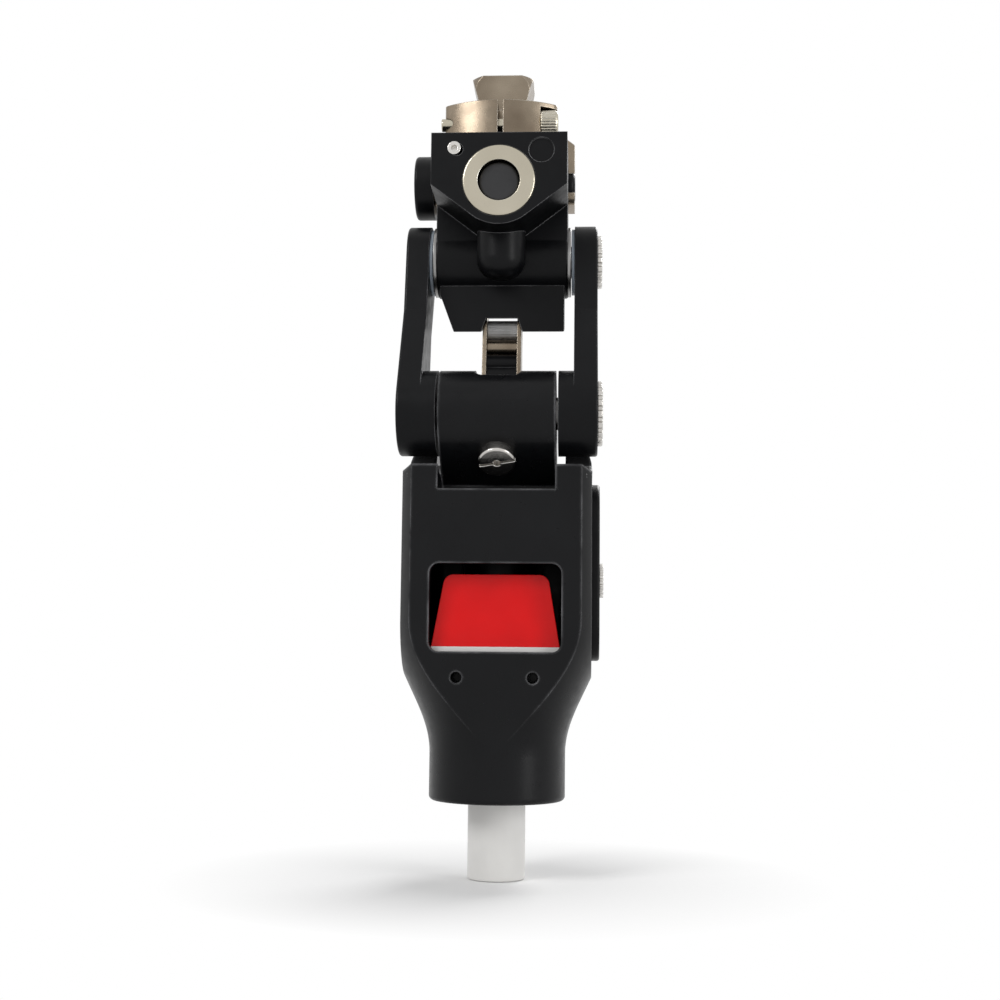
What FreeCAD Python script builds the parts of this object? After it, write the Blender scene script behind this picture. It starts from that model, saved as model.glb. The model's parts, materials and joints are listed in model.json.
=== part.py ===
"""Polycentric prosthetic knee joint: chassis with pylon collar, four-bar linkage, knee head and pyramid.

Millimetres. +Z is up along the leg, +X is right in the front view, and -Y is the front.
The origin is the centre of the pylon collar's lower face. Every moving piece is at full extension.
"""
import FreeCAD, Part
import math
import os

V = FreeCAD.Vector

# Fits and gaps
running_fit = 0.05
side_gap = 0.3
rest_gap = 0.3

# Linkage pivots, as (y, z) seen from the side
lower_front_pivot = (-12.0, 116.3)
upper_front_pivot = (6.5, 168.4)
lower_rear_pivot = (2.0, 112.0)
upper_rear_pivot = (8.5, 155.6)

# Chassis: turned collar and flare, milled flat at the front, back and sides
collar_radius = 20.6
collar_height = 20.5
collar_edge_radius = 1.4
socket_radius = 15.0
socket_depth = 30.0
flare_start = 14.0
flare_end = 54.0
flare_lower_handle = 14.0
flare_upper_handle = 16.0
shoulder_radius = 32.7
side_flat = 28.4
front_flat = collar_radius + 0.02
rear_flat = 26.0
shoulder_height = 102.0
ledge_height = 92.4
front_hole_spacing = 22.4
front_hole_radius = 1.65
front_hole_height = 36.8
front_hole_depth = 8.0

# Damper bay inside the chassis and its front window
bay_floor = 41.0
bay_height = 46.0
bay_half_width = 22.0
bay_front_wall = 3.0
bay_back_wall = 1.4
bay_corner_radius = 4.0
window_width = 39.0
window_height = 26.0
window_sill = 44.3
window_corner_radius = 3.0
rear_opening_half_width = 13.0
cover_half_width = 18.4
cover_thickness = 2.4
cover_margin = 3.0
cover_corner_radius = 3.0
cover_screw_radius = 1.5

# Knuckle at the top of the chassis, round both lower pivots
knuckle_radius = 13.0
knuckle_half_width = 17.5
knuckle_rear_radius = 8.5
knuckle_chin_angle = 52.0
knuckle_chin_length = 18.0
knuckle_notch_depth = 2.4
knuckle_notch_radius = 2.0
link_slot_half_width = 6.9
link_scallop_radius = 18.6

# Front links
link_outer_face = 30.0
link_thickness = 7.2
link_lower_radius = 13.0
link_upper_radius = 11.3
link_waist = 7.6
link_boss_inner_face = 18.2
link_edge_radius = 0.8
axle_radius = 5.0
axle_waist_radius = 4.0
bush_wall = 1.5
bush_flange = 1.0
bush_length = 8.0
washer_thickness = 0.9
washer_radius = 10.4
lower_cap_radius = 9.9
upper_cap_radius = 8.35
cap_thickness = 1.5
cap_teeth = 18

# Knee head
head_half_width = 20.6
head_barrel_radius = 12.6
head_front = 24.0
head_top = 200.4
head_side_bottom = 184.7
head_block_bottom = 172.4
head_block_floor_half_width = 7.0
head_collar_radius = 11.0
head_corner_radius = 1.5
head_neck_radius = 7.7
lug_bottom = 147.8
lug_half_width = 17.0
lug_slant = 4.0
lug_back = 19.0
lug_gap_half_width = 6.7
link_gap_top = 164.4
rear_axle_place = (12.0, 194.9)
rear_axle_radius = 4.0
rear_ear_half_width = 17.2
rear_ear_radius = 5.4

# Stance rubber, ring nut and rocker
nut_height = 185.4
nut_radius = 11.0
nut_bore_radius = 6.4
nut_length = 6.0
nut_proud = 0.6
rubber_radius = 9.0
rubber_length = 11.0
set_screw_radius = 2.0
set_screw_place = (-13.6, 195.6)
dimple_place = (13.0, 195.6)
dimple_radius = 3.7
rocker_half_width = 22.3
rocker_back = 22.0
rocker_shoulder = 203.2
rocker_cheek_bottom = 187.5
rocker_nose_half_width = 6.0
rocker_nose_thickness = 5.0
rocker_stroke_angle = 5.0
disc_radius = 10.0
disc_thickness = 5.0
dome_head_radius = 5.25
dome_head_height = 2.8

# Pyramid clamp and pyramid
clamp_half_width = 17.5
clamp_front_radius = 30.0
clamp_front = 20.0
clamp_height = 12.4
clamp_slit = 1.8
stem_radius = 11.0
stem_length = 9.0
clamp_screw_radius = 2.5
clamp_screw_head_radius = 4.25
clamp_screw_head_length = 5.4
clamp_screw_drop = 6.2
clamp_screw_front = 14.0
pyramid_width = 19.2
pyramid_corner = 2.2
pyramid_top = 228.3
pyramid_chamfer = 3.0
pyramid_taper = 15.0
pyramid_dome_height = 3.0

# Rear link
cheek_thickness = 1.2
cheek_outer_face = 6.1
cheek_lower_radius = 6.0
cheek_half_width = 5.0
cheek_wall = 1.5
lower_pin_radius = 3.0
upper_pin_radius = 2.0
eye_clearance = 0.8
eye_slot_down = 3.3
eye_slot_forward = 2.45
roller_radius = 4.0
roller_share = 0.635
spacer_radius = 3.4
spacer_share = 0.81
core_top_share = 0.43
heel_reach = 10.0
heel_drop = 5.5
heel_radius = 3.0

# Damper driven by the rear link's heel
damper_axis_y = 10.5
damper_radius = 11.2
damper_length = 36.0
damper_cap_height = 5.0
plunger_radius = 4.2
plunger_head = 2.5
piston_rod_radius = 3.0
plunger_stroke = 3.0
rod_collar_radius = 5.0
rod_collar_height = 2.0
red_bottom_half_width = 19.0
red_top_half_width = 15.4
red_height = 21.5
red_thickness = 9.0
red_lean = 2.6
red_setback = 1.0
edge_strip_height = 1.5

# Guard tube in the pylon socket
guard_outer_radius = 8.7
guard_wall = 2.0
guard_reach = 23.3
guard_seat_depth = 9.0

# Side cover plate and side screws
side_cover_thickness = 2.4
side_cover_half_width = 11.0
side_cover_bottom = 42.0
side_cover_top = 96.0
side_screw_radius = 5.2
side_screw_height = 66.5
side_screw_proud = 1.2

# Rear pylon clamp on the collar
pinch_half_width = 8.5
pinch_back = 29.5
pinch_slit = 2.0
pinch_height = 16.0
pinch_screw_radius = 3.0
pinch_head_radius = 4.8
pinch_head_depth = 5.2

# Screw under the knuckle's chin
chin_screw_radius = 5.65
chin_screw_height = 3.8
chin_screw_slide = 4.6
chin_shank_radius = 3.0
chin_shank_length = 6.5
chin_slot_width = 0.9
chin_socket_radius = 1.3

# Sizes worked out from the ones above
link_inner_face = link_outer_face - link_thickness
bush_outer_radius = axle_radius + running_fit + bush_wall
bay_top = bay_floor + bay_height
clamp_base = head_top + rest_gap
clamp_top = clamp_base + clamp_height
nut_face = -head_front - nut_proud
nut_back = nut_face + nut_length
rubber_back = nut_back + rubber_length
heel_place = (lower_rear_pivot[0] + heel_reach, lower_rear_pivot[1] - heel_drop)
plunger_top = heel_place[1] - heel_radius - rest_gap
plunger_seat = plunger_top - plunger_head - plunger_stroke - rest_gap
link_slot_floor = plunger_top - plunger_stroke - 0.5


def box(x0, x1, y0, y1, z0, z1):
    """A block between two corners."""
    return Part.makeBox(x1 - x0, y1 - y0, z1 - z0, V(x0, y0, z0))


def rod_x(place, radius, x0, x1):
    """A cylinder along X through (y, z)."""
    return Part.makeCylinder(radius, x1 - x0, V(x0, place[0], place[1]), V(1, 0, 0))


def rod_y(x, z, radius, y0, y1):
    """A cylinder along Y through (x, z)."""
    return Part.makeCylinder(radius, y1 - y0, V(x, y0, z), V(0, 1, 0))


def rod_z(x, y, radius, z0, z1):
    """A cylinder along Z through (x, y)."""
    return Part.makeCylinder(radius, z1 - z0, V(x, y, z0), V(0, 0, 1))


def side_prism(points, x0, x1):
    """A polygon of (y, z) points, extruded from x0 to x1."""
    wire = Part.makePolygon([V(x0, y, z) for y, z in points + points[:1]])
    return Part.Face(wire).extrude(V(x1 - x0, 0, 0))


def front_prism(points, y0, y1):
    """A polygon of (x, z) points, extruded from y0 to y1."""
    wire = Part.makePolygon([V(x, y0, z) for x, z in points + points[:1]])
    return Part.Face(wire).extrude(V(0, y1 - y0, 0))


def bar_x(start, start_radius, end, end_radius, x0, x1):
    """A bar seen from the side: two round ends joined by their tangent lines."""
    along = math.atan2(end[1] - start[1], end[0] - start[0])
    length = math.hypot(end[0] - start[0], end[1] - start[1])
    spread = math.acos((start_radius - end_radius) / length)

    def rim(centre, radius, angle):
        return V(x0, centre[0] + radius * math.cos(angle), centre[1] + radius * math.sin(angle))

    left, right = along + spread, along - spread
    edges = [
        Part.LineSegment(rim(start, start_radius, right), rim(end, end_radius, right)),
        Part.Arc(rim(end, end_radius, right), rim(end, end_radius, along), rim(end, end_radius, left)),
        Part.LineSegment(rim(end, end_radius, left), rim(start, start_radius, left)),
        Part.Arc(rim(start, start_radius, left), rim(start, start_radius, along + math.pi),
                 rim(start, start_radius, right)),
    ]
    wire = Part.Wire([edge.toShape() for edge in edges])
    return Part.Face(wire).extrude(V(x1 - x0, 0, 0))


def rounded_plate(x0, x1, z0, z1, radius, y0, y1):
    """An upright plate with rounded corners in the front view."""
    plate = box(x0, x1, y0, y1, z0, z1)
    corners = [e for e in plate.Edges if abs(e.tangentAt(e.FirstParameter).y) > 0.9]
    return plate.makeFillet(radius, corners)


def mirrored(shape):
    """The same piece on the other side of the leg's middle plane."""
    return shape.mirror(V(0, 0, 0), V(1, 0, 0))


def fused(pieces):
    """One solid from pieces that touch or overlap."""
    return pieces[0].multiFuse(pieces[1:]).removeSplitter()


def fillet_where(shape, radius, chosen):
    """Round the edges that the test picks."""
    return shape.makeFillet(radius, [e for e in shape.Edges if chosen(e)])


def group(pieces):
    """Separate solids kept in one file."""
    return Part.makeCompound(pieces)


def between(start, end, share):
    """A point part of the way from one (y, z) point to another."""
    return (start[0] + share * (end[0] - start[0]), start[1] + share * (end[1] - start[1]))


def chassis_turning():
    """The turned blank: collar, flare and shoulder about the Z axis."""
    flare = Part.BezierCurve()
    flare.setPoles([
        V(collar_radius, 0, flare_start),
        V(collar_radius, 0, flare_start + flare_lower_handle),
        V(shoulder_radius, 0, flare_end - flare_upper_handle),
        V(shoulder_radius, 0, flare_end),
    ])
    edge = collar_edge_radius
    corner = edge * (1 - math.sqrt(0.5))
    outline = [
        Part.LineSegment(V(0, 0, 0), V(collar_radius - edge, 0, 0)),
        Part.Arc(V(collar_radius - edge, 0, 0), V(collar_radius - corner, 0, corner), V(collar_radius, 0, edge)),
        Part.LineSegment(V(collar_radius, 0, edge), V(collar_radius, 0, flare_start)),
        flare,
        Part.LineSegment(V(shoulder_radius, 0, flare_end), V(shoulder_radius, 0, shoulder_height)),
        Part.LineSegment(V(shoulder_radius, 0, shoulder_height), V(0, 0, shoulder_height)),
        Part.LineSegment(V(0, 0, shoulder_height), V(0, 0, 0)),
    ]
    wire = Part.Wire([piece.toShape() for piece in outline])
    return Part.Face(wire).revolve(V(0, 0, 0), V(0, 0, 1), 360)


def chin_point(slide):
    """A point of the chin plane, a distance down and back from where it leaves the knuckle."""
    down = math.radians(knuckle_chin_angle)
    y = lower_front_pivot[0] - knuckle_radius * math.cos(down) + slide * math.sin(down)
    z = lower_front_pivot[1] - knuckle_radius * math.sin(down) - slide * math.cos(down)
    return y, z


def knuckle():
    """The block that carries both lower pivots, with its chin sloping down and back."""
    wide = knuckle_half_width
    rear = lower_rear_pivot[0] + knuckle_rear_radius
    body = bar_x(lower_front_pivot, knuckle_radius, lower_rear_pivot, knuckle_rear_radius, -wide, wide)
    chin_end = chin_point(knuckle_chin_length)
    foot = [chin_point(0), chin_end, (chin_end[0], ledge_height - 4), (rear, ledge_height - 4),
            (rear, lower_rear_pivot[1]), lower_front_pivot]
    return fused([body, side_prism(foot, -wide, wide)])


def pinch_clamp():
    """The split ears behind the collar that draw it tight on the pylon."""
    low = (collar_height - pinch_height) / 2
    ears = box(-pinch_half_width, pinch_half_width, socket_radius + 2, pinch_back, low, low + pinch_height)
    return fillet_where(ears, 3.0, lambda e: abs(e.tangentAt(e.FirstParameter).x) > 0.9
                        and e.BoundBox.YMin > pinch_back - 1)


def bay():
    """The damper bay with its front window and rear opening."""
    half = bay_half_width
    room = box(-half, half, -front_flat + bay_front_wall, rear_flat - cover_thickness - bay_back_wall,
               bay_floor, bay_top)
    room = fillet_where(room, bay_corner_radius, lambda e: abs(e.tangentAt(e.FirstParameter).z) > 0.9)
    window = rounded_plate(-window_width / 2, window_width / 2, window_sill, window_sill + window_height,
                           window_corner_radius, -front_flat - 1, -front_flat + bay_front_wall + 1)
    back = rear_opening_half_width
    opening = box(-back, back, 0, rear_flat + 1, bay_floor + cover_margin, bay_top - cover_margin)
    rebate = rounded_plate(-cover_half_width, cover_half_width, bay_floor - 1, bay_top + 1,
                           cover_corner_radius, rear_flat - cover_thickness, rear_flat + 1)
    return [room, window, opening, rebate]


def cover_screw_places():
    """Where the rear cover's four screws go, as (x, z)."""
    x = (rear_opening_half_width + cover_half_width) / 2
    return [(side * x, z) for side in (-1, 1) for z in (bay_floor + 4, bay_top - 4)]


def chassis():
    """The machined aluminium shank frame."""
    blank = chassis_turning()
    blank = blank.common(box(-side_flat, side_flat, -front_flat, rear_flat, -1, shoulder_height + 1))
    blank = blank.fuse(pinch_clamp())
    far = side_flat + 10
    cuts = [rod_x(lower_front_pivot, link_scallop_radius, -far, far),
            box(-knuckle_half_width, knuckle_half_width, -60, chin_point(knuckle_chin_length)[0],
                ledge_height, shoulder_height + 5)]
    frame = fused([blank.cut(Part.makeCompound(cuts[:1])).cut(cuts[1]), knuckle()])

    low = (collar_height - pinch_height) / 2
    middle = low + pinch_height / 2
    screw_y = (socket_radius + pinch_back) / 2 + 1.5
    tools = bay()
    tools.append(rod_z(0, 0, socket_radius, -1, socket_depth))
    tools.append(rod_z(0, 0, guard_outer_radius, socket_depth - 1, bay_floor + 1))
    tools.append(box(-pinch_slit / 2, pinch_slit / 2, socket_radius - 2, pinch_back + 5, -1, collar_height + 1))
    tools.append(rod_x((screw_y, middle), pinch_screw_radius, -pinch_half_width - 1, pinch_half_width + 1))
    tools.append(rod_x((screw_y, middle), pinch_head_radius + 0.2, pinch_half_width - pinch_head_depth + 1.5,
                       pinch_half_width + 5))
    for side in (-1, 1):
        tools.append(rod_y(side * front_hole_spacing / 2, front_hole_height, front_hole_radius,
                           -front_flat - 1, -front_flat + front_hole_depth))
    for x, z in cover_screw_places():
        tools.append(rod_y(x, z, cover_screw_radius + running_fit, rear_flat - 8, rear_flat))
    tools += knuckle_cuts()
    return frame.cut(Part.makeCompound(tools[:4])).cut(Part.makeCompound(tools[4:]))


def knuckle_cuts():
    """Bores, link slot, top notch and plunger bore of the knuckle."""
    wide = knuckle_half_width
    slot = link_slot_half_width
    top = lower_front_pivot[1] + knuckle_radius
    slot_front = lower_rear_pivot[0] - cheek_lower_radius - 0.5
    cuts = [
        rod_x(lower_front_pivot, axle_radius + rest_gap, -wide - 1, wide + 1),
        rod_x(lower_rear_pivot, lower_pin_radius, -wide + 2, wide + 1),
        box(-slot, slot, slot_front, rear_flat + 5, link_slot_floor, top + 5),
        rounded_plate(-slot, slot, top - knuckle_notch_depth, top + 8, knuckle_notch_radius,
                      lower_front_pivot[0] - knuckle_radius - 1, rear_flat),
        rod_z(0, damper_axis_y, plunger_radius + running_fit, plunger_seat, link_slot_floor + 1),
        rod_z(0, damper_axis_y, piston_rod_radius + rest_gap, bay_top - 1, plunger_seat + 1),
        chin_screw_axis_rod(chin_shank_radius, -chin_shank_length - 0.5, 1.0),
    ]
    for side in (-1, 1):
        ends = sorted((side * (wide + 1), side * (wide - bush_length)))
        cuts.append(rod_x(lower_front_pivot, bush_outer_radius, ends[0], ends[1]))
    return cuts


def chin_screw_axis_rod(radius, start, end):
    """A cylinder square to the chin plane, between two heights above it."""
    down = math.radians(knuckle_chin_angle)
    out = V(0, -math.cos(down), -math.sin(down))
    y, z = chin_point(chin_screw_slide)
    return Part.makeCylinder(radius, end - start, V(0, y, z) + out * start, out)


def chin_screw():
    """The slotted screw with a hex socket that stands square to the chin."""
    down = math.radians(knuckle_chin_angle)
    out = V(0, -math.cos(down), -math.sin(down))
    y, z = chin_point(chin_screw_slide)
    head = chin_screw_axis_rod(chin_screw_radius, 0, chin_screw_height)
    head = fillet_where(head, 0.6, lambda e: (e.CenterOfMass - V(0, y, z)).dot(out) > chin_screw_height - 0.01)
    body = fused([head, chin_screw_axis_rod(chin_shank_radius, -chin_shank_length, 0)])
    slot = box(-20, 20, -chin_slot_width / 2, chin_slot_width / 2, chin_screw_height - 1.0, chin_screw_height + 1)
    slot.rotate(V(0, 0, 0), V(0, 0, 1), 12)
    slot.Placement = FreeCAD.Placement(V(0, y, z), FreeCAD.Rotation(V(0, 0, 1), out)).multiply(slot.Placement)
    socket = chin_screw_axis_rod(chin_socket_radius, chin_screw_height - 2.5, chin_screw_height + 1)
    return body.cut(slot).cut(socket)


def front_link():
    """The right front link: a flat arm with a long lower boss and a round upper eye."""
    inner, outer = link_inner_face, link_outer_face
    lower = rod_x(lower_front_pivot, link_lower_radius, inner, outer)
    upper = rod_x(upper_front_pivot, link_upper_radius, inner, outer)
    arm = bar_x(lower_front_pivot, link_waist, upper_front_pivot, link_waist, inner, outer)
    web = bar_x(lower_front_pivot, link_lower_radius,
                between(lower_front_pivot, upper_front_pivot, 0.62), link_waist, inner, outer)
    crown = bar_x(upper_front_pivot, link_upper_radius,
                  between(upper_front_pivot, lower_front_pivot, 0.45), link_waist, inner, outer)
    plate = fused([lower, upper, arm, web, crown])
    plate = fillet_where(plate, link_edge_radius, lambda e: e.BoundBox.XMin > outer - 0.01)
    boss = rod_x(lower_front_pivot, link_lower_radius, link_boss_inner_face, inner)
    link = fused([plate, boss])
    for place in (lower_front_pivot, upper_front_pivot):
        link = link.cut(rod_x(place, axle_radius, link_boss_inner_face - 1, outer + 1))
    return link


def front_axle(place, waisted):
    """An axle pressed into both links. The upper one is waisted to clear the rear link's eye."""
    axle = rod_x(place, axle_radius, -link_outer_face + 0.6, link_outer_face)
    if waisted:
        half = lug_gap_half_width + 0.5
        waist = rod_x(place, axle_radius + 1, -half, half).cut(rod_x(place, axle_waist_radius, -half, half))
        axle = axle.cut(waist)
    return axle


def toothed_cap(place, radius):
    """The bright serrated end plate of an axle, on the right link's outer face."""
    cap = rod_x(place, radius, link_outer_face, link_outer_face + cap_thickness)
    cap = fillet_where(cap, cap_thickness / 3, lambda e: e.BoundBox.XMin > link_outer_face + 0.5)
    notches = []
    for tooth in range(cap_teeth):
        turn = 2 * math.pi * tooth / cap_teeth
        rim = (place[0] + radius * math.cos(turn), place[1] + radius * math.sin(turn))
        notches.append(rod_x(rim, radius * 0.09, link_outer_face - 1, link_outer_face + cap_thickness + 1))
    notches.append(rod_x(place, radius * 0.3, link_outer_face + cap_thickness / 2, link_outer_face + 5))
    return cap.cut(Part.makeCompound(notches))


def bush(place, mouth, flanged):
    """The right-hand plain bearing liner of a barrel, flush with its mouth or flanged over it."""
    liner = rod_x(place, bush_outer_radius, mouth - bush_length, mouth)
    if flanged:
        liner = liner.fuse(rod_x(place, head_collar_radius, mouth, mouth + bush_flange)).removeSplitter()
    return liner.cut(rod_x(place, axle_radius + running_fit, mouth - bush_length - 1, mouth + 5))


def washer():
    """The pale thrust washer between the head's right bush flange and the link."""
    end = link_inner_face - running_fit
    ring = rod_x(upper_front_pivot, washer_radius, end - washer_thickness, end)
    return ring.cut(rod_x(upper_front_pivot, axle_radius + running_fit, 0, end + 1))


def head_block():
    """The front block: square shoulders, chamfered to a narrow round chin."""
    wide, low = head_half_width, head_block_bottom
    chin = head_block_floor_half_width
    outline = [(-wide, head_top), (-wide, head_side_bottom), (-chin, low), (chin, low),
               (wide, head_side_bottom), (wide, head_top)]
    back = rear_axle_place[0] - rear_ear_radius - 1.5
    block = front_prism(outline, -head_front, back)
    tall = [e for e in block.Edges if abs(e.tangentAt(e.FirstParameter).y) > 0.9
            and e.BoundBox.ZMin > head_top - 1]
    return block.makeFillet(head_corner_radius, tall)


def head_lug():
    """The lug behind the barrel that holds the rear link's upper pin. Its left side slants."""
    wide, low = lug_half_width, lug_bottom
    high = upper_front_pivot[1]
    outline = [(-wide, high), (-wide - 1, low + 11), (-wide + lug_slant, low), (wide, low), (wide, high)]
    front = upper_rear_pivot[0] - 8.0
    lug = front_prism(outline, front, lug_back)
    return lug.makeFillet(1.5, [e for e in lug.Edges if abs(e.tangentAt(e.FirstParameter).y) > 0.9
                                and e.BoundBox.ZMax < low + 1])


def knee_head():
    """The knee head: front block, cross barrel, rear lug and the ear of the rear axle."""
    wide = head_half_width
    barrel = rod_x(upper_front_pivot, head_barrel_radius, -wide, wide)
    neck = rod_z(0, -head_front + head_neck_radius + 9.3, head_neck_radius, upper_front_pivot[1] - 4,
                 nut_height)
    neck = fillet_where(neck, 3.0, lambda e: e.BoundBox.ZMax < upper_front_pivot[1] - 3)
    ear_wide = rear_ear_half_width
    spine = [(-4.0, upper_front_pivot[1]), (-4.0, head_top - 8), (rear_axle_place[0], head_top - 8),
             (rear_axle_place[0] + rear_ear_radius, rear_axle_place[1]), (lug_back, upper_front_pivot[1] + 8),
             (lug_back, upper_front_pivot[1] - 2)]
    ear = rod_x(rear_axle_place, rear_ear_radius, -ear_wide, ear_wide)
    body = fused([head_block(), barrel, neck, head_lug(), side_prism(spine, -ear_wide, ear_wide), ear])

    gap = lug_gap_half_width
    pin_end = lug_half_width - 3.0
    slot_back = rubber_back + rest_gap + rocker_nose_thickness + 3.0
    cuts = [
        rod_y(0, nut_height, nut_radius + running_fit, -head_front - 1, nut_back),
        rod_y(0, nut_height, rubber_radius + side_gap, nut_back - 1, rubber_back + 1.0),
        box(-rocker_nose_half_width - 1, rocker_nose_half_width + 1, rubber_back - 0.5, slot_back,
            nut_height - rubber_radius - 1, head_top + 1),
        rod_x(rear_axle_place, rear_axle_radius + running_fit, -wide - 1, wide + 1),
        rod_x(upper_front_pivot, axle_radius + rest_gap, -wide - 1, wide + 1),
        box(-gap, gap, upper_rear_pivot[0] - 12, 40, lug_bottom - 5, upper_front_pivot[1] - head_barrel_radius),
        box(-gap, gap, upper_rear_pivot[0] - 7.2, 40, lug_bottom - 5, link_gap_top),
        rod_x(upper_rear_pivot, upper_pin_radius, -pin_end, lug_half_width + 5),
        rod_y(set_screw_place[0], set_screw_place[1], set_screw_radius, -head_front - 1, -head_front + 7),
        rod_y(dimple_place[0], dimple_place[1], dimple_radius, -head_front - 1, -head_front + 0.5),
    ]
    for side in (-1, 1):
        ends = sorted((side * (wide + 1), side * (wide - bush_length)))
        cuts.append(rod_x(upper_front_pivot, bush_outer_radius, ends[0], ends[1]))
    for cut in cuts:
        body = body.cut(cut)
    return body


def ring_nut():
    """The plated ring nut that sets the stance rubber's preload."""
    ring = rod_y(0, nut_height, nut_radius, nut_face, nut_back)
    ring = fillet_where(ring, 0.6, lambda e: e.BoundBox.YMax < nut_face + 0.1)
    return ring.cut(rod_y(0, nut_height, nut_bore_radius, nut_face - 1, nut_back + 1))


def stance_rubber():
    """The rubber buffer behind the ring nut, with a nose in the nut's bore."""
    body = rod_y(0, nut_height, rubber_radius, nut_back, rubber_back)
    nose = rod_y(0, nut_height, nut_bore_radius - side_gap, nut_face + 1.6, nut_back)
    nose = fillet_where(nose, 0.8, lambda e: e.BoundBox.YMax < nut_face + 2)
    return fused([body, nose])


def set_screw():
    """The small socket set screw that locks the ring nut."""
    x, z = set_screw_place
    screw = rod_y(x, z, set_screw_radius, -head_front - 0.2, -head_front + 6)
    return screw.cut(rod_y(x, z, set_screw_radius * 0.5, -head_front - 1, -head_front + 1.5))


def clamp_ring():
    """The split clamp on top: a bowed front, straight sides and a gently domed top."""
    half, front = clamp_half_width, clamp_front
    bow = clamp_front_radius - math.sqrt(clamp_front_radius ** 2 - half ** 2)
    side_y = -front + bow
    back_y = rocker_back - 1
    edges = [
        Part.Arc(V(-half, side_y, clamp_base), V(0, -front, clamp_base), V(half, side_y, clamp_base)).toShape(),
        Part.LineSegment(V(half, side_y, clamp_base), V(half, back_y, clamp_base)).toShape(),
        Part.LineSegment(V(half, back_y, clamp_base), V(-half, back_y, clamp_base)).toShape(),
        Part.LineSegment(V(-half, back_y, clamp_base), V(-half, side_y, clamp_base)).toShape(),
    ]
    ring = Part.Face(Part.Wire(edges)).extrude(V(0, 0, clamp_height))
    dome_radius = 70.0
    dome = Part.makeSphere(dome_radius, V(0, 0, clamp_top - dome_radius))
    return ring.common(dome)


def stance_rocker():
    """The plated rocker: pyramid clamp, cheeks on the rear axle and the nose that presses the rubber."""
    wide, back = rocker_half_width, rocker_back
    front = rear_axle_place[0] - rear_ear_radius - 1.0
    low = rocker_cheek_bottom
    outline = [(-wide, low), (-wide, rocker_shoulder - 6), (-wide + 6.5, rocker_shoulder + 1),
               (wide - 6.5, rocker_shoulder + 1), (wide, rocker_shoulder - 6), (wide, low)]
    saddle = front_prism(outline, front, back)
    hollow = rear_ear_half_width + side_gap
    room = box(-hollow, hollow, front - 1, back + 1, low - 1, head_top + rest_gap)
    room = fused([room, rod_x(rear_axle_place, rear_ear_radius + 0.8, -hollow, hollow)])
    saddle = saddle.cut(room)
    saddle = fillet_where(saddle, 3.0, lambda e: abs(e.tangentAt(e.FirstParameter).x) > 0.9
                          and e.BoundBox.ZMax < low + 0.1)
    nose_front = rubber_back + rest_gap
    nose = box(-rocker_nose_half_width, rocker_nose_half_width, nose_front, nose_front + rocker_nose_thickness,
               nut_height - 6.0, clamp_base + 2)
    body = fused([saddle, clamp_ring(), nose])

    screw_z = clamp_top - clamp_screw_drop
    screw_y = -clamp_screw_front
    notch_x = clamp_half_width - clamp_screw_head_length + 1.2
    cuts = [
        rod_z(0, 0, stem_radius + running_fit, clamp_top - stem_length - 1.5, clamp_top + 3),
        box(-clamp_slit / 2, clamp_slit / 2, -clamp_front - 1, -stem_radius + 3, clamp_base - 1, clamp_top + 3),
        rod_x((screw_y, screw_z), clamp_screw_radius + 0.1, -clamp_half_width - 1, clamp_half_width + 1),
        rod_x((screw_y, screw_z), clamp_screw_head_radius + 0.3, notch_x, clamp_half_width + 5),
        box(notch_x, clamp_half_width + 5, screw_y - clamp_screw_head_radius - 9, screw_y,
            screw_z - clamp_screw_head_radius - 0.3, screw_z + clamp_screw_head_radius + 0.3),
        rod_x(rear_axle_place, rear_axle_radius, -wide - 1, wide + 1),
    ]
    for cut in cuts:
        body = body.cut(cut)
    return body


def clamp_screw():
    """The socket cap screw that closes the pyramid clamp."""
    place = (-clamp_screw_front, clamp_top - clamp_screw_drop)
    seat = clamp_half_width - clamp_screw_head_length + 1.2
    head = rod_x(place, clamp_screw_head_radius, seat, seat + clamp_screw_head_length)
    head = fillet_where(head, 0.5, lambda e: e.BoundBox.XMin > seat + clamp_screw_head_length - 0.1)
    shank = rod_x(place, clamp_screw_radius, -clamp_half_width - 2.0, seat)
    socket = rod_x(place, clamp_screw_head_radius * 0.48, seat + clamp_screw_head_length - 2.6, seat + 10)
    return fused([head, shank]).cut(socket)


def rear_axle():
    """The rocker's axle, with a broad disc on the left and a domed head on the right."""
    y, z = rear_axle_place
    end = rocker_half_width
    shaft = rod_x(rear_axle_place, rear_axle_radius, -end, end)
    disc = rod_x(rear_axle_place, disc_radius, -end - disc_thickness, -end)
    disc = fillet_where(disc, 1.0, lambda e: e.BoundBox.XMax < -end - disc_thickness + 0.1)
    head = rod_x(rear_axle_place, dome_head_radius, end, end + dome_head_height)
    head = fillet_where(head, dome_head_height * 0.7, lambda e: e.BoundBox.XMin > end + dome_head_height - 0.1)
    axle = fused([shaft, disc, head])
    return axle.cut(Part.makeCylinder(2.0, 3.0, V(end + dome_head_height - 1.8, y, z), V(1, 0, 0)))


def chamfered_square(half, corner, z):
    """A square wire with cut corners, for the pyramid's sections."""
    inner = half - corner
    corners = [(inner, -half), (half, -inner), (half, inner), (inner, half),
               (-inner, half), (-half, inner), (-half, -inner), (-inner, -half)]
    return Part.makePolygon([V(x, y, z) for x, y in corners + corners[:1]])


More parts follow.
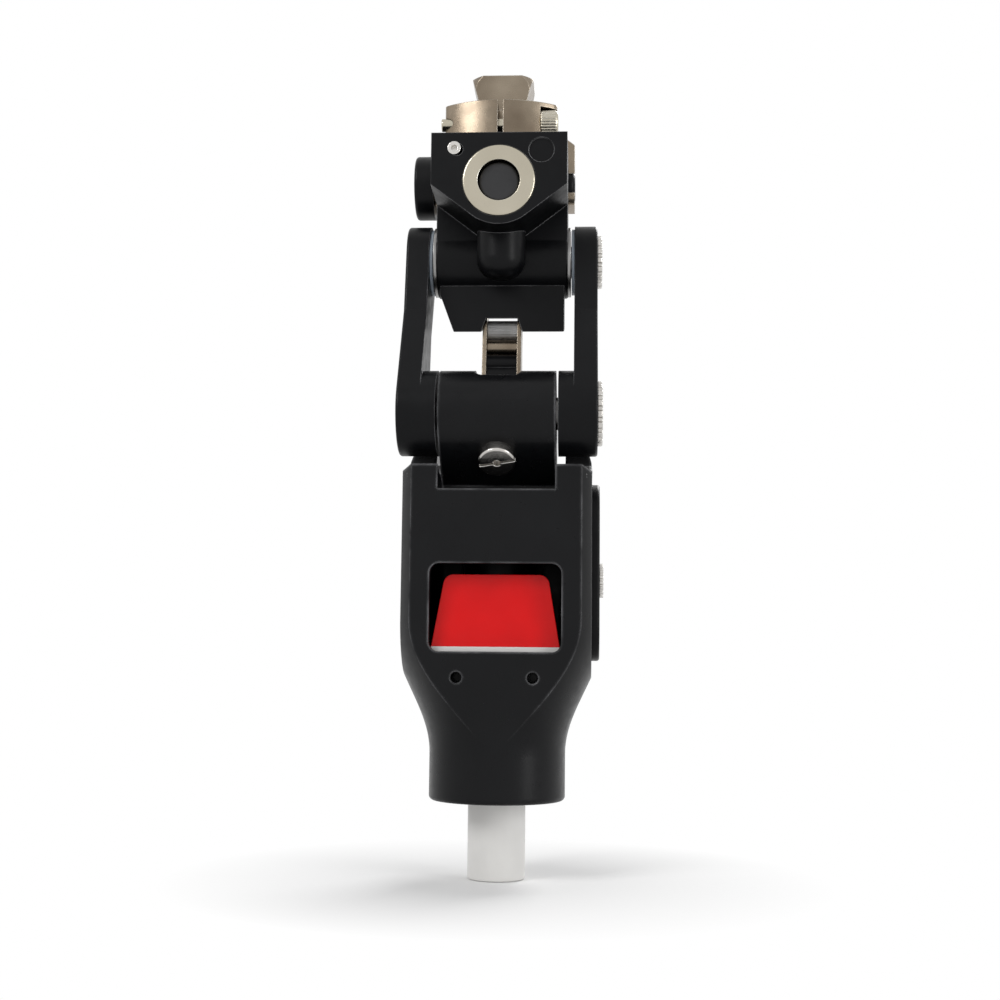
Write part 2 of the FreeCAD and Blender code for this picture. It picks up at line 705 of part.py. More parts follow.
def pyramid():
    """The inverted pyramid with its domed foot and the round stem in the clamp."""
    top, half = pyramid_top, pyramid_width / 2
    widest = top - pyramid_chamfer
    foot = clamp_top - 1.0
    narrow = half - (widest - foot) * math.tan(math.radians(pyramid_taper))
    taper = Part.makeLoft([chamfered_square(narrow, pyramid_corner * 0.6, foot),
                           chamfered_square(half, pyramid_corner, widest)], True, True)
    crown = Part.makeLoft([chamfered_square(half, pyramid_corner, widest),
                           chamfered_square(half - pyramid_chamfer * 0.75, pyramid_corner, top)], True, True)
    stem_base = clamp_top - stem_length
    stem = rod_z(0, 0, stem_radius, stem_base, clamp_top + pyramid_dome_height)
    dome_radius = (stem_radius ** 2 + pyramid_dome_height ** 2) / (2 * pyramid_dome_height)
    dome = Part.makeSphere(dome_radius, V(0, 0, clamp_top + pyramid_dome_height - dome_radius))
    return fused([taper, crown, stem.common(dome)])


def eye_slot_end():
    """Where the rear link's slotted upper eye ends, below and in front of its pin."""
    dy = lower_rear_pivot[0] - upper_rear_pivot[0]
    dz = lower_rear_pivot[1] - upper_rear_pivot[1]
    length = math.hypot(dy, dz)
    y = upper_rear_pivot[0] + (eye_slot_down * dy + eye_slot_forward * dz) / length
    z = upper_rear_pivot[1] + (eye_slot_down * dz - eye_slot_forward * dy) / length
    return y, z


def link_cheek():
    """The right steel cheek of the rear link, with a slotted upper eye."""
    x0, x1 = cheek_outer_face - cheek_thickness, cheek_outer_face
    slot_radius = upper_pin_radius + eye_clearance
    top_radius = slot_radius + cheek_wall
    arm = bar_x(lower_rear_pivot, cheek_lower_radius, upper_rear_pivot, top_radius, x0, x1)
    eye = bar_x(upper_rear_pivot, top_radius, eye_slot_end(), top_radius + 0.01, x0, x1)
    strip = bar_x(lower_rear_pivot, cheek_half_width, between(lower_rear_pivot, upper_rear_pivot, 0.84),
                  cheek_half_width + 0.01, x0, x1)
    cheek = fused([arm, eye, strip])
    slot = bar_x(upper_rear_pivot, slot_radius, eye_slot_end(), slot_radius + 0.01, x0 - 1, x1 + 1)
    return cheek.cut(slot).cut(rod_x(lower_rear_pivot, lower_pin_radius + running_fit, x0 - 1, x1 + 1))


def link_core():
    """The block between the cheeks: hooked top, round lower eye and the heel that drives the damper."""
    wide = cheek_outer_face - cheek_thickness
    top = between(lower_rear_pivot, upper_rear_pivot, core_top_share)
    block = bar_x(lower_rear_pivot, cheek_lower_radius - 0.2, top, cheek_half_width - 0.6, -wide, wide)
    heel = bar_x(lower_rear_pivot, cheek_lower_radius - 1.0, heel_place, heel_radius, -wide, wide)
    body = fused([block, heel])
    return body.cut(rod_x(lower_rear_pivot, lower_pin_radius + running_fit, -wide - 1, wide + 1))


def link_roller(share, radius):
    """A cross roller riveted between the cheeks."""
    wide = cheek_outer_face - cheek_thickness
    return rod_x(between(lower_rear_pivot, upper_rear_pivot, share), radius, -wide, wide)


def upper_link_pin():
    """The pin in the head's lug that the rear link's slotted eye hangs on."""
    end = lug_half_width - 3.0
    return rod_x(upper_rear_pivot, upper_pin_radius, -end, end)


def lower_link_pin():
    """The pin of the rear link in the knuckle."""
    end = knuckle_half_width - 2.0
    return rod_x(lower_rear_pivot, lower_pin_radius, -end, end)


def damper_cylinder():
    """The damper body on the bay floor."""
    top = bay_floor + damper_length
    barrel = rod_z(0, damper_axis_y, damper_radius, bay_floor, top)
    barrel = fillet_where(barrel, 1.5, lambda e: e.BoundBox.ZMin > top - 0.1)
    room = rod_z(0, damper_axis_y, damper_radius - 3.5, bay_floor + 4, top - damper_cap_height)
    way = rod_z(0, damper_axis_y, piston_rod_radius + running_fit, bay_floor + 4, top + 1)
    return barrel.cut(fused([room, way]))


def rod_collar_base():
    """The height of the collar on the plunger's rod that the return spring pushes."""
    return bay_top - rest_gap - rod_collar_height


def plunger():
    """The plunger under the rear link's heel, with its rod, spring collar and piston as one piece."""
    head = rod_z(0, damper_axis_y, plunger_radius, plunger_top - plunger_head, plunger_top)
    low = bay_floor + damper_length * 0.5
    shaft = rod_z(0, damper_axis_y, piston_rod_radius, low, plunger_top - plunger_head)
    piston = rod_z(0, damper_axis_y, damper_radius - 3.5 - side_gap, low, low + 4.0)
    collar = rod_z(0, damper_axis_y, rod_collar_radius, rod_collar_base(), rod_collar_base() + rod_collar_height)
    return fused([head, shaft, piston, collar])


def return_spring():
    """The plunger's return spring round its rod above the damper, as a closed sleeve."""
    low = bay_floor + damper_length
    ring = rod_z(0, damper_axis_y, rod_collar_radius, low, rod_collar_base())
    return ring.cut(rod_z(0, damper_axis_y, piston_rod_radius + 0.5, low - 1, bay_top + 1))


def red_cover():
    """The glossy trapezoid cover in the window, leaning back at the top."""
    low = window_sill + edge_strip_height
    front = -front_flat + bay_front_wall + red_setback
    bottom, top = red_bottom_half_width, red_top_half_width
    back = front + red_thickness
    high = low + red_height
    outline = [(-bottom, low), (bottom, low), (top, high), (-top, high)]
    plate = front_prism(outline, front, back)
    corners = [e for e in plate.Edges if abs(e.tangentAt(e.FirstParameter).y) > 0.9 and e.BoundBox.ZMin > high - 1]
    plate = plate.makeFillet(3.0, corners)
    wedge = side_prism([(front - 1, low - 1), (front, low), (front + red_lean, high + 1), (front - 1, high + 1)],
                       -bottom - 1, bottom + 1)
    return plate.cut(wedge)


def edge_strip():
    """The white strip under the red cover, standing on the window sill."""
    front = -front_flat + bay_front_wall + red_setback
    return box(-red_bottom_half_width, red_bottom_half_width, front - 0.6, front + red_thickness,
               window_sill, window_sill + edge_strip_height)


def red_cover_bracket():
    """The black bracket that holds the cover and its strip to the bay floor."""
    front = -front_flat + bay_front_wall + red_setback
    back = front + red_thickness
    foot = box(-14, 14, front + 1, back + 1.5, bay_floor, window_sill)
    post = box(-11, 11, back, back + 1.5, bay_floor, window_sill + edge_strip_height + red_height * 0.7)
    return fused([foot, post])


def guard_tube():
    """The white plastic guard tube that hangs in the pylon socket."""
    top = socket_depth + guard_seat_depth
    tube = rod_z(0, 0, guard_outer_radius, -guard_reach, top)
    tube = tube.cut(rod_z(0, 0, guard_outer_radius - guard_wall, -guard_reach - 1, top - guard_wall))
    return fillet_where(tube, 0.6, lambda e: e.BoundBox.ZMax < -guard_reach + 0.1)


def pinch_screw():
    """The cap screw of the pylon clamp behind the collar."""
    low = (collar_height - pinch_height) / 2
    place = ((socket_radius + pinch_back) / 2 + 1.5, low + pinch_height / 2)
    seat = pinch_half_width - pinch_head_depth + 1.5
    head = rod_x(place, pinch_head_radius, seat, seat + pinch_head_depth)
    shank = rod_x(place, pinch_screw_radius, -pinch_half_width, seat)
    socket = rod_x(place, pinch_head_radius * 0.5, seat + 2.4, seat + 10)
    return fused([head, shank]).cut(socket)


def rear_cover():
    """The cover over the damper bay's rear opening, in its rebate."""
    plate = rounded_plate(-cover_half_width + 0.1, cover_half_width - 0.1, bay_floor - 0.9, bay_top + 0.9,
                          cover_corner_radius, rear_flat - cover_thickness, rear_flat)
    for x, z in cover_screw_places():
        plate = plate.cut(rod_y(x, z, cover_screw_radius, 0, rear_flat + 1))
        plate = plate.cut(Part.makeCone(cover_screw_radius, cover_screw_radius + 1.4, 1.4,
                                        V(x, rear_flat - 1.4, z), V(0, 1, 0)))
    return plate


def cover_screws():
    """The rear cover's four countersunk screws."""
    screws = []
    for x, z in cover_screw_places():
        shank = rod_y(x, z, cover_screw_radius, rear_flat - 7, rear_flat - 1.4)
        head = Part.makeCone(cover_screw_radius, cover_screw_radius + 1.4, 1.4, V(x, rear_flat - 1.4, z), V(0, 1, 0))
        socket = rod_y(x, z, 0.9, rear_flat - 1.2, rear_flat + 1)
        screws.append(fused([shank, head]).cut(socket))
    return group(screws)


def side_cover():
    """The long cover plate on the right flank."""
    x0, x1 = side_flat, side_flat + side_cover_thickness
    half = side_cover_half_width
    bottom = (0, side_cover_bottom + half)
    top = (0, side_cover_top - half)
    plate = bar_x(bottom, half, top, half + 0.001, x0, x1)
    return fillet_where(plate, 0.8, lambda e: e.BoundBox.XMin > x1 - 0.1)


def side_screw(face, side):
    """A bright serrated screw head on a flank."""
    place = (0, side_screw_height)
    head = rod_x(place, side_screw_radius, face, face + side_screw_proud)
    notches = []
    for tooth in range(cap_teeth):
        turn = 2 * math.pi * tooth / cap_teeth
        rim = (place[0] + side_screw_radius * math.cos(turn), place[1] + side_screw_radius * math.sin(turn))
        notches.append(rod_x(rim, side_screw_radius * 0.1, face - 1, face + side_screw_proud + 1))
    notches.append(rod_x(place, side_screw_radius * 0.35, face + side_screw_proud / 2, face + 5))
    head = head.cut(Part.makeCompound(notches))
    return mirrored(head) if side < 0 else head


def build():
    """Every node of the knee, by name."""
    pair = lambda right: group([right, mirrored(right)])
    return {
        "chassis": chassis(),
        "chin_screw": chin_screw(),
        "lower_bushes": pair(bush(lower_front_pivot, knuckle_half_width, False)),
        "lower_link_pin": lower_link_pin(),
        "damper_cylinder": damper_cylinder(),
        "plunger": plunger(),
        "return_spring": return_spring(),
        "red_cover": red_cover(),
        "edge_strip": edge_strip(),
        "cover_bracket": red_cover_bracket(),
        "guard_tube": guard_tube(),
        "pinch_screw": pinch_screw(),
        "rear_cover": rear_cover(),
        "rear_cover_screws": cover_screws(),
        "side_cover": side_cover(),
        "side_screw_right": side_screw(side_flat + side_cover_thickness, 1),
        "side_screw_left": side_screw(side_flat, -1),
        "right_link": front_link(),
        "left_link": mirrored(front_link()),
        "lower_axle": front_axle(lower_front_pivot, False),
        "upper_axle": front_axle(upper_front_pivot, True),
        "lower_axle_cap": toothed_cap(lower_front_pivot, lower_cap_radius),
        "upper_axle_cap": toothed_cap(upper_front_pivot, upper_cap_radius),
        "thrust_washers": pair(washer()),
        "knee_head": knee_head(),
        "head_bushes": pair(bush(upper_front_pivot, head_half_width, True)),
        "ring_nut": ring_nut(),
        "stance_rubber": stance_rubber(),
        "set_screw": set_screw(),
        "upper_link_pin": upper_link_pin(),
        "stance_rocker": stance_rocker(),
        "rear_axle": rear_axle(),
        "clamp_screw": clamp_screw(),
        "pyramid": pyramid(),
        "link_cheeks": pair(link_cheek()),
        "link_core": link_core(),
        "link_roller": link_roller(roller_share, roller_radius),
        "link_spacer": link_roller(spacer_share, spacer_radius),
    }


os.makedirs("parts", exist_ok=True)
for name, shape in build().items():
    if not shape.isValid():
        print("not valid:", name)
    shape.exportStep("parts/" + name + ".step")
    print(name, len(shape.Solids), round(shape.Volume, 1))
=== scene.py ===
"""Looks of the polycentric prosthetic knee joint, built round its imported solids.

The frame is in metres. The forms are drawn in millimetres, and on_axis turns them into metres.
"""
import json
import math

import bmesh
import bpy
from mathutils import Matrix, Vector


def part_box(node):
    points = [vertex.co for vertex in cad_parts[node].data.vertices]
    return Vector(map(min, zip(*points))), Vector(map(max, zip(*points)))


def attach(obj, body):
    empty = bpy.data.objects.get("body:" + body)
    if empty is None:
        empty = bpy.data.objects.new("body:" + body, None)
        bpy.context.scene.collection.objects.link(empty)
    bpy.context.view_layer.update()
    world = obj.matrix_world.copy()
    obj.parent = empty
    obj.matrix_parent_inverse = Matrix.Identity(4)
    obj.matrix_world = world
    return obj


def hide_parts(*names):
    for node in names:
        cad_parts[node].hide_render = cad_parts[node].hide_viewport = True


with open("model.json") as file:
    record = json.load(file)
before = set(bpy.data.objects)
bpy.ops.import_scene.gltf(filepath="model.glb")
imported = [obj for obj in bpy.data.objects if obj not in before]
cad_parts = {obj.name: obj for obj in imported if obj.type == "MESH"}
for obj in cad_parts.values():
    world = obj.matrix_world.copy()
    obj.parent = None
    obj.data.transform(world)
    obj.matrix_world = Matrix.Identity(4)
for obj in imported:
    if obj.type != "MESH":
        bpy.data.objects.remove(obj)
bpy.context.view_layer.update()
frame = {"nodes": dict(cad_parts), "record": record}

# Camera of the photograph
CAMERA_AZIMUTH = 3.25
CAMERA_ELEVATION = -6.4
CAMERA_ROLL = 0.6
CAMERA_DISTANCE = 0.450
CAMERA_TARGET = (0.0, 0.0, 0.0913)
CAMERA_LENS = 52.27
CAMERA_SENSOR = 36.0
CAMERA_SHIFT = 0.0001
CAMERA_CLIP = 0.01

# Floor and studio light
FLOOR_LEVEL = -0.0234
FLOOR_SIZE = 8.0
FLOOR_FADE_START = 0.03
FLOOR_FADE_END = 0.10
FLOOR_COLOUR = (0.88, 0.88, 0.88, 1)
FLOOR_ROUGHNESS = 0.9
WORLD_STRENGTH = 0.42

# Finishes: edge rounding in metres, and waves a metre of their tone, edge wear with painted edge highlight,
# gloss and grain
EDGE_RADIUS = 0.0004
EDGE_SAMPLES = 6
EDGE_MASK_START = 0.80
EDGE_MASK_END = 0.985
TONE_SCALE = 40.0
WEAR_AND_HIGHLIGHT_SCALE = 140.0
WEAR_AND_HIGHLIGHT_LEAST = 0.1
GLOSS_SCALE = 300.0
GLOSS_DETAIL = 4.0
GRAIN_SCALE = 4000.0
GRAIN_DETAIL = 2.0
COAT_ROUGHNESS = 0.08

# Forms, in millimetres from here on. Tools reach past the faces that they open.
MM = 0.001
PAST = 1.0
FAR = 40.0
CIRCLE_STEPS = 72
CORNER_STEPS = 8
EDGE_STEPS = 6
EDGE_TURNS = [math.pi / 2 * step / EDGE_STEPS for step in range(EDGE_STEPS + 1)]
SHARP_ANGLE = math.radians(24)

# Knee head, with heights from the ring nut's axis
HEAD_HALF = 20.6
HEAD_RISE = 15.0
HEAD_FRONT = -24.0
HEAD_BLOCK_SETBACK = 6.9
CHIN_RADIUS = 13.4
CHIN_DROP = 1.1
BARREL_RADIUS = 11.4
BARREL_EDGE = 0.5
BUSH_BORE = 6.55
BUSH_END = 12.6
AXLE_BORE = 5.3
NECK_RADIUS = 7.5
NECK_ROUND = 6.0
NECK_Y = -7.2
NECK_DROP = 9.0
NECK_TOP_DROP = 2.0
BODY_INSET = 0.02
BODY_FRONT = -4.0
BODY_BACK = 18.95
BODY_FOOT_RISE = 0.1
BODY_TOP_DROP = 7.9
SPINE_FRONT = -4.1
SPINE_BACK = 18.0
SPINE_FOOT_RISE = 0.6
SPINE_TOP_RISE = 7.0
SPINE_EAR_REACH = 5.2
EAR_HALF = 17.2
EAR_RADIUS = 5.4
EAR_INSET = 0.05

# Holes of the knee head
NUT_BORE = 11.05
NUT_BACK = -18.6
RUBBER_BORE = 9.3
RUBBER_BACK = -7.6
NOSE_SLOT_HALF = 7.0
NOSE_SLOT_BACK = 0.7
NOSE_SLOT_DROP = 10.0
REAR_AXLE_BORE = 3.55
SET_SCREW = (-12.85, 9.8)
SET_SCREW_BORE = 1.95
SET_SCREW_END = -17.0
DIMPLE = (12.8, 9.5)
DIMPLE_RADIUS = 3.85
DIMPLE_END = -23.4

# Lug behind the barrel, with heights from the rear link's upper pin
LUG_HALF = 19.5
LUG_DROP = 11.2
LUG_SLANT_WIDTH = 4.4
LUG_SLANT_HEIGHT = 11.9
LUG_CORNER = 0.8
LUG_BACK = 19.0
LUG_UNDERSIDE = math.radians(15)
LUG_UNDERSIDE_DROP = 0.27
LUG_LIP = 1.2
LUG_GAP_HALF = 6.7
LUG_GAP_RISE = 8.8
LUG_ROOM = 0.3
MOUTH_DROP = 6.7
MOUTH_HALF = 5.0
MOUTH_FOOT_HALF = 6.9

# Rocker and its clamp
ROCKER_HALF = 22.65
ROCKER_DROP = 6.4
ROCKER_REACH = 4.8
ROCKER_BACK = 22.0
ROCKER_TOP_HALF = 16.2
ROCKER_BEVEL_HEIGHT = 4.8
ROCKER_BEVEL_ROUND = 1.2
ROCKER_FOOT_ROUND = 3.0
ROCKER_ROOM_HALF = 17.5
ROCKER_ROOM_PAST = 1.5
ROCKER_EAR_ROOM = 6.2
NOSE_HALF = 6.0
NOSE_FRONT = -7.3
NOSE_BACK = -2.3
NOSE_DROP = 6.0
CLAMP_GAP = 0.3
CLAMP_HEIGHT = 11.6
CLAMP_HALF = 17.3
CLAMP_BOW = 30.0
CLAMP_FRONT = -20.0
CLAMP_CORNER = 2.0
CLAMP_BACK_STEP = 1.0
CLAMP_SLIT_HALF = 0.82
CLAMP_SLIT_BACK = -8.0
STEM_BORE = 11.05
STEM_BORE_DEPTH = 9.5
SCREW_Y = -14.0
SCREW_DROP = 5.9
SCREW_WAY = 2.05
SCREW_SEAT = 12.2
SCREW_ROOM = 4.55
SCREW_ROOM_END = 19.0
COUNTERBORE = 5.7
COUNTERBORE_SEAT = 20.0

# Clamp screw, with its head's layers as (inset, tooth depth, distance from the seat)
SCREW_HEAD_RADIUS = 4.25
SCREW_HEAD_SEAT = 12.25
SCREW_HEAD_LENGTH = 5.35
SCREW_HEAD_TEETH = 30
SCREW_HEAD_LAYERS = ((0.35, 0.05, 0.0), (0.0, 0.22, 0.4), (0.0, 0.22, 4.45), (0.25, 0.02, 4.85),
                     (0.6, 0.0, 5.35))
SCREW_SHANK = 1.95
SCREW_SHANK_END = -18.4
SCREW_SHANK_EDGE = 0.3
SCREW_SHANK_INSET = 0.5
SCREW_SOCKET = 2.3
SCREW_SOCKET_DEPTH = 2.6

# Rear axle
AXLE_RADIUS = 3.45
AXLE_START = -23.0
AXLE_END = 20.5
AXLE_WAY = 3.5
DISC_RADIUS = 10.2
DISC_START = -28.8
DISC_END = -22.65
DISC_EDGE = 1.0
DOME_RADIUS = 5.4
DOME_START = 20.05
DOME_END = 22.8
DOME_EDGE = 1.6
DOME_SOCKET = 2.2
DOME_SOCKET_START = 21.0

# Pyramid
PYRAMID_HALF = 9.6
PYRAMID_RISE = 11.9
PYRAMID_SINK = 1.0
PYRAMID_TAPER = math.tan(math.radians(15))
PYRAMID_TURNED = 12.0
PYRAMID_TOP_TURNED = 11.3
PYRAMID_RIM_DROP = 1.9
PYRAMID_PAST = 0.3
STEM_RADIUS = 11.0
STEM_LENGTH = 8.0
STEM_DOME = 3.0
STEM_DOME_TIP = 0.4

# Rear link
CHEEK_INNER = 4.8
CHEEK_OUTER = 6.1
CHEEK_FOOT_RADIUS = 6.0
CHEEK_STRIP_RADIUS = 5.0
CHEEK_STRIP_SHARE = 0.82
CHEEK_SLOT_RADIUS = 2.8
EYE_RADIUS = 4.3
EYE_SLOT_DOWN = 3.3
EYE_SLOT_FORWARD = 2.45
LINK_PIN_BORE = 3.05
SEAM = 0.01
LAYER_INSET = 0.002
CORE_EYE_RADIUS = 5.8
CORE_FOOT_RADIUS = 5.7
CORE_TOP_RADIUS = 4.4
CORE_TOP_SHARE = 0.43
CORE_HALF = 4.6
CORE_EYE_HALF = 4.78
CAM_RADIUS = 3.0
CAM_SHARE = 0.523
CAM_FORWARD = 1.5
CAM_HALF = 4.79
HEEL_REACH = 10.0
HEEL_DROP = 5.5
HEEL_RADIUS = 3.0
HEEL_ROOT_RADIUS = 5.0
HEEL_HALF = 4.59
ROLLER_RADIUS = 2.7
ROLLER_SHARE = 0.655
SPACER_RADIUS = 3.1
SPACER_SHARE = 0.79
SPACER_TEETH = 36
SPACER_TOOTH = 0.14

# Shoulders of the frame
FLANK_FOOT_HALF = 26.3
FLANK_FOOT = 34.0
FLANK_WIDENING = 2.3
FLANK_LENGTH = 67.0
SHOULDER_LOW = 96.0
SHOULDER_TOP = 108.8
SHOULDER_CURVE = ((0.0, 100.0), (0.3, 103.6), (1.0, 106.4), (2.0, SHOULDER_TOP))
SHOULDER_WIDEST = 101.0
SHOULDER_FRONT = -20.6
SHOULDER_BACK = 26.0
SHOULDER_RADIUS = 32.7
SHOULDER_SCALLOP = 20.2
SHOULDER_ROOM_HALF = 20.2
SHOULDER_ROOM_FLOOR = 102.2
SHOULDER_REAR_ROOM = 12.0
SHOULDER_REAR_FLOOR = 102.0
SHOULDER_NOTCH_HALF = 17.6
SHOULDER_NOTCH_BACK = 12.5
SHOULDER_NOTCH_FLOOR = 90.0
ABOVE_SHOULDERS = 120.0


class Surface:
    """A material under construction: its shader, nodes and links."""

    def __init__(self, name):
        self.material = bpy.data.materials.new(name)
        self.material.use_nodes = True
        self.tree = self.material.node_tree
        self.shader = self.tree.nodes["Principled BSDF"]
        self.coordinates = self.tree.nodes.new("ShaderNodeTexCoord").outputs["Object"]

    def node(self, kind, **inputs):
        """A new node with constants set on its inputs."""
        node = self.tree.nodes.new(kind)
        for key, value in inputs.items():
            node.inputs[key.replace("_", " ")].default_value = value
        return node

    def link(self, source, target):
        """Joins an output to an input."""
        self.tree.links.new(source, target)

    def noise(self, scale, detail=3.0):
        """A noise value in object space. The scale is in waves a metre."""
        texture = self.node("ShaderNodeTexNoise", Scale=scale, Detail=detail)
        self.link(self.coordinates, texture.inputs["Vector"])
        return texture.outputs["Fac"]

    def span(self, value, low, high, start=0.3, end=0.7):
        """A value mapped to another range."""
        node = self.node("ShaderNodeMapRange", From_Min=start, From_Max=end, To_Min=low, To_Max=high)
        self.link(value, node.inputs["Value"])
        return node.outputs["Result"]

    def product(self, first, second):
        """Two values multiplied."""
        node = self.tree.nodes.new("ShaderNodeMath")
        node.operation = "MULTIPLY"
        self.link(first, node.inputs[0])
        self.link(second, node.inputs[1])
        return node.outputs["Value"]

    def blend(self, factor, first, second):
        """A mix of two colours, either of which can be another node's output."""
        node = self.tree.nodes.new("ShaderNodeMix")
        node.data_type = "RGBA"
        for socket, colour in ((node.inputs[6], first), (node.inputs[7], second)):
            if isinstance(colour, tuple):
                socket.default_value = (*colour, 1)
            else:
                self.link(colour, socket)
        self.link(factor, node.inputs[0])
        return node.outputs[2]

    def rounded_normal(self, radius):
        """The normal with edges rounded to a radius."""
        node = self.tree.nodes.new("ShaderNodeBevel")
        node.samples = EDGE_SAMPLES
        node.inputs["Radius"].default_value = radius
        return node.outputs["Normal"]

    def edge_mask(self, normal):
        """1 along edges and 0 on open faces."""
        geometry = self.tree.nodes.new("ShaderNodeNewGeometry")
        product = self.tree.nodes.new("ShaderNodeVectorMath")
        product.operation = "DOT_PRODUCT"
        self.link(normal, product.inputs[0])
        self.link(geometry.outputs["Normal"], product.inputs[1])
        return self.span(product.outputs["Value"], 1.0, 0.0, EDGE_MASK_START, EDGE_MASK_END)

    def bump(self, height, distance, normal):
        """A bump of a height in metres over a normal."""
        node = self.node("ShaderNodeBump", Strength=1.0, Distance=distance)
        self.link(height, node.inputs["Height"])
        self.link(normal, node.inputs["Normal"])
        return node.outputs["Normal"]


def finish(name, colours, roughness, metallic=1.0, specular=0.5, coat=0.0, wear_and_highlight=None, grain=0.000004,
           mottle=TONE_SCALE, edge=EDGE_RADIUS):
    """A metal, plastic or rubber with tone changes, a fine grain, and edges lightened where given, partly as
    wear and partly as a painted highlight.
    """
    surface = Surface(name)
    shader = surface.shader
    shader.inputs["Metallic"].default_value = metallic
    shader.inputs["Specular IOR Level"].default_value = specular
    shader.inputs["Coat Weight"].default_value = coat
    shader.inputs["Coat Roughness"].default_value = COAT_ROUGHNESS
    normal = surface.rounded_normal(edge)
    colour = surface.blend(surface.span(surface.noise(mottle), 0.0, 1.0), *colours)
    # Edges lightened towards the given edge colour: partly edge wear, partly a painted highlight where edges
    # would catch the light.
    if wear_and_highlight:
        patches = surface.span(surface.noise(WEAR_AND_HIGHLIGHT_SCALE), WEAR_AND_HIGHLIGHT_LEAST, 1.0)
        colour = surface.blend(surface.product(surface.edge_mask(normal), patches), colour, wear_and_highlight)
    surface.link(colour, shader.inputs["Base Color"])
    gloss = surface.span(surface.noise(GLOSS_SCALE, GLOSS_DETAIL), *roughness)
    surface.link(gloss, shader.inputs["Roughness"])
    normal = surface.bump(surface.noise(GRAIN_SCALE, GRAIN_DETAIL), grain, normal)
    surface.link(normal, shader.inputs["Normal"])
    return surface.material


# The light edge colours given to the finishes below are partly wear and partly a painted edge highlight.
BLACK = ((0.0026, 0.0028, 0.0034), (0.0048, 0.0050, 0.0058))
CHAMPAGNE = ((0.165, 0.130, 0.095), (0.30, 0.25, 0.19))
MATERIALS = {
    "black_anodised": finish("black_anodised", BLACK, (0.30, 0.42), metallic=0.0, specular=0.13,
                             wear_and_highlight=(0.30, 0.30, 0.31), grain=0.000004),
    "nickel": finish("nickel", CHAMPAGNE, (0.20, 0.34), wear_and_highlight=(0.80, 0.76, 0.68), mottle=55.0),
    "bright_steel": finish("bright_steel", ((0.52, 0.50, 0.47), (0.68, 0.66, 0.63)), (0.16, 0.28),
                           wear_and_highlight=(0.9, 0.9, 0.88)),
    "steel": finish("steel", ((0.26, 0.255, 0.25), (0.36, 0.355, 0.35)), (0.26, 0.38), wear_and_highlight=(0.7, 0.7, 0.7)),
    "red_gloss": finish("red_gloss", ((0.60, 0.001, 0.002), (0.74, 0.002, 0.003)), (0.18, 0.26),
                        metallic=0.0, specular=0.2, coat=0.08, grain=0.0000008),
    "white_plastic": finish("white_plastic", ((0.70, 0.69, 0.67), (0.78, 0.77, 0.75)), (0.42, 0.55),
                            metallic=0.0, specular=0.35),
    "pale_plastic": finish("pale_plastic", ((0.36, 0.43, 0.50), (0.44, 0.50, 0.57)), (0.35, 0.5),
                           metallic=0.0),
    "black_plastic": finish("black_plastic", ((0.003, 0.003, 0.0034), (0.006, 0.006, 0.0065)), (0.4, 0.55),
                            metallic=0.0, specular=0.15),
    "rubber": finish("rubber", ((0.008, 0.008, 0.009), (0.02, 0.02, 0.022)), (0.38, 0.6), metallic=0.0,
                     specular=0.4, grain=0.00002),
}
FRAME_FINISH = finish("black_anodised_frame", BLACK, (0.26, 0.38), metallic=0.0, specular=0.16,
                      wear_and_highlight=(0.22, 0.22, 0.23), grain=0.000003, edge=0.0013)
PALE_NICKEL = finish("nickel_pale", ((0.40, 0.365, 0.285), (0.52, 0.48, 0.39)), (0.16, 0.24),
                     wear_and_highlight=(0.92, 0.90, 0.84), mottle=30.0)
NODE_MATERIALS = {
    "chassis": FRAME_FINISH,
    "ring_nut": PALE_NICKEL,
    "damper_cylinder": MATERIALS["black_anodised"],
}


def dress_nodes():
    """Gives every CAD node its finish."""
    slots = {row["node"]: row["material_slot"] for row in frame["record"]["subparts"]}
    for name, node in frame["nodes"].items():
        node.data.materials.clear()
        node.data.materials.append(NODE_MATERIALS.get(name, MATERIALS[slots[name]]))


def on_axis(axis, first, second, along):
    """A point in metres from two millimetre coordinates across an axis and one along it."""
    order = {"X": (along, first, second), "Y": (first, along, second), "Z": (first, second, along)}
    return Vector(order[axis]) * MM


def solid(mesh):
    """A work piece from a closed mesh."""
    bmesh.ops.recalc_face_normals(mesh, faces=mesh.faces)
    data = bpy.data.meshes.new("work")
    mesh.to_mesh(data)
    mesh.free()
    piece = bpy.data.objects.new("work", data)
    bpy.context.scene.collection.objects.link(piece)
    return piece


def stacked(axis, layers):
    """A solid skinned over layers of (outline, position along the axis), capped at both ends."""
    mesh = bmesh.new()
    rings = [[mesh.verts.new(on_axis(axis, a, b, along)) for a, b in outline] for outline, along in layers]
    count = len(rings[0])
    for low_ring, high_ring in zip(rings, rings[1:]):
        for i in range(count):
            j = (i + 1) % count
            mesh.faces.new((low_ring[i], low_ring[j], high_ring[j], high_ring[i]))
    mesh.faces.new(rings[0])
    mesh.faces.new(rings[-1])
    return solid(mesh)


def arc(centre, radius, first=0.0, last=2 * math.pi, steps=CIRCLE_STEPS):
    """Points of an arc between two turns, or of a whole circle."""
    whole = abs(last - first) > 2 * math.pi - 0.001
    count = steps if whole else steps + 1
    turns = [first + (last - first) * step / steps for step in range(count)]
    return [(centre[0] + radius * math.cos(turn), centre[1] + radius * math.sin(turn)) for turn in turns]


def prism(axis, outline, start, end):
    """An outline extruded along an axis."""
    return stacked(axis, [(outline, start), (outline, end)])


def block(x0, x1, y0, y1, z0, z1):
    """A block between two corners."""
    return prism("Z", [(x0, y0), (x1, y0), (x1, y1), (x0, y1)], z0, z1)


def lathe(axis, centre, profile):
    """A turned solid from (radius, position along the axis) points."""
    return stacked(axis, [(arc(centre, radius), along) for radius, along in profile])


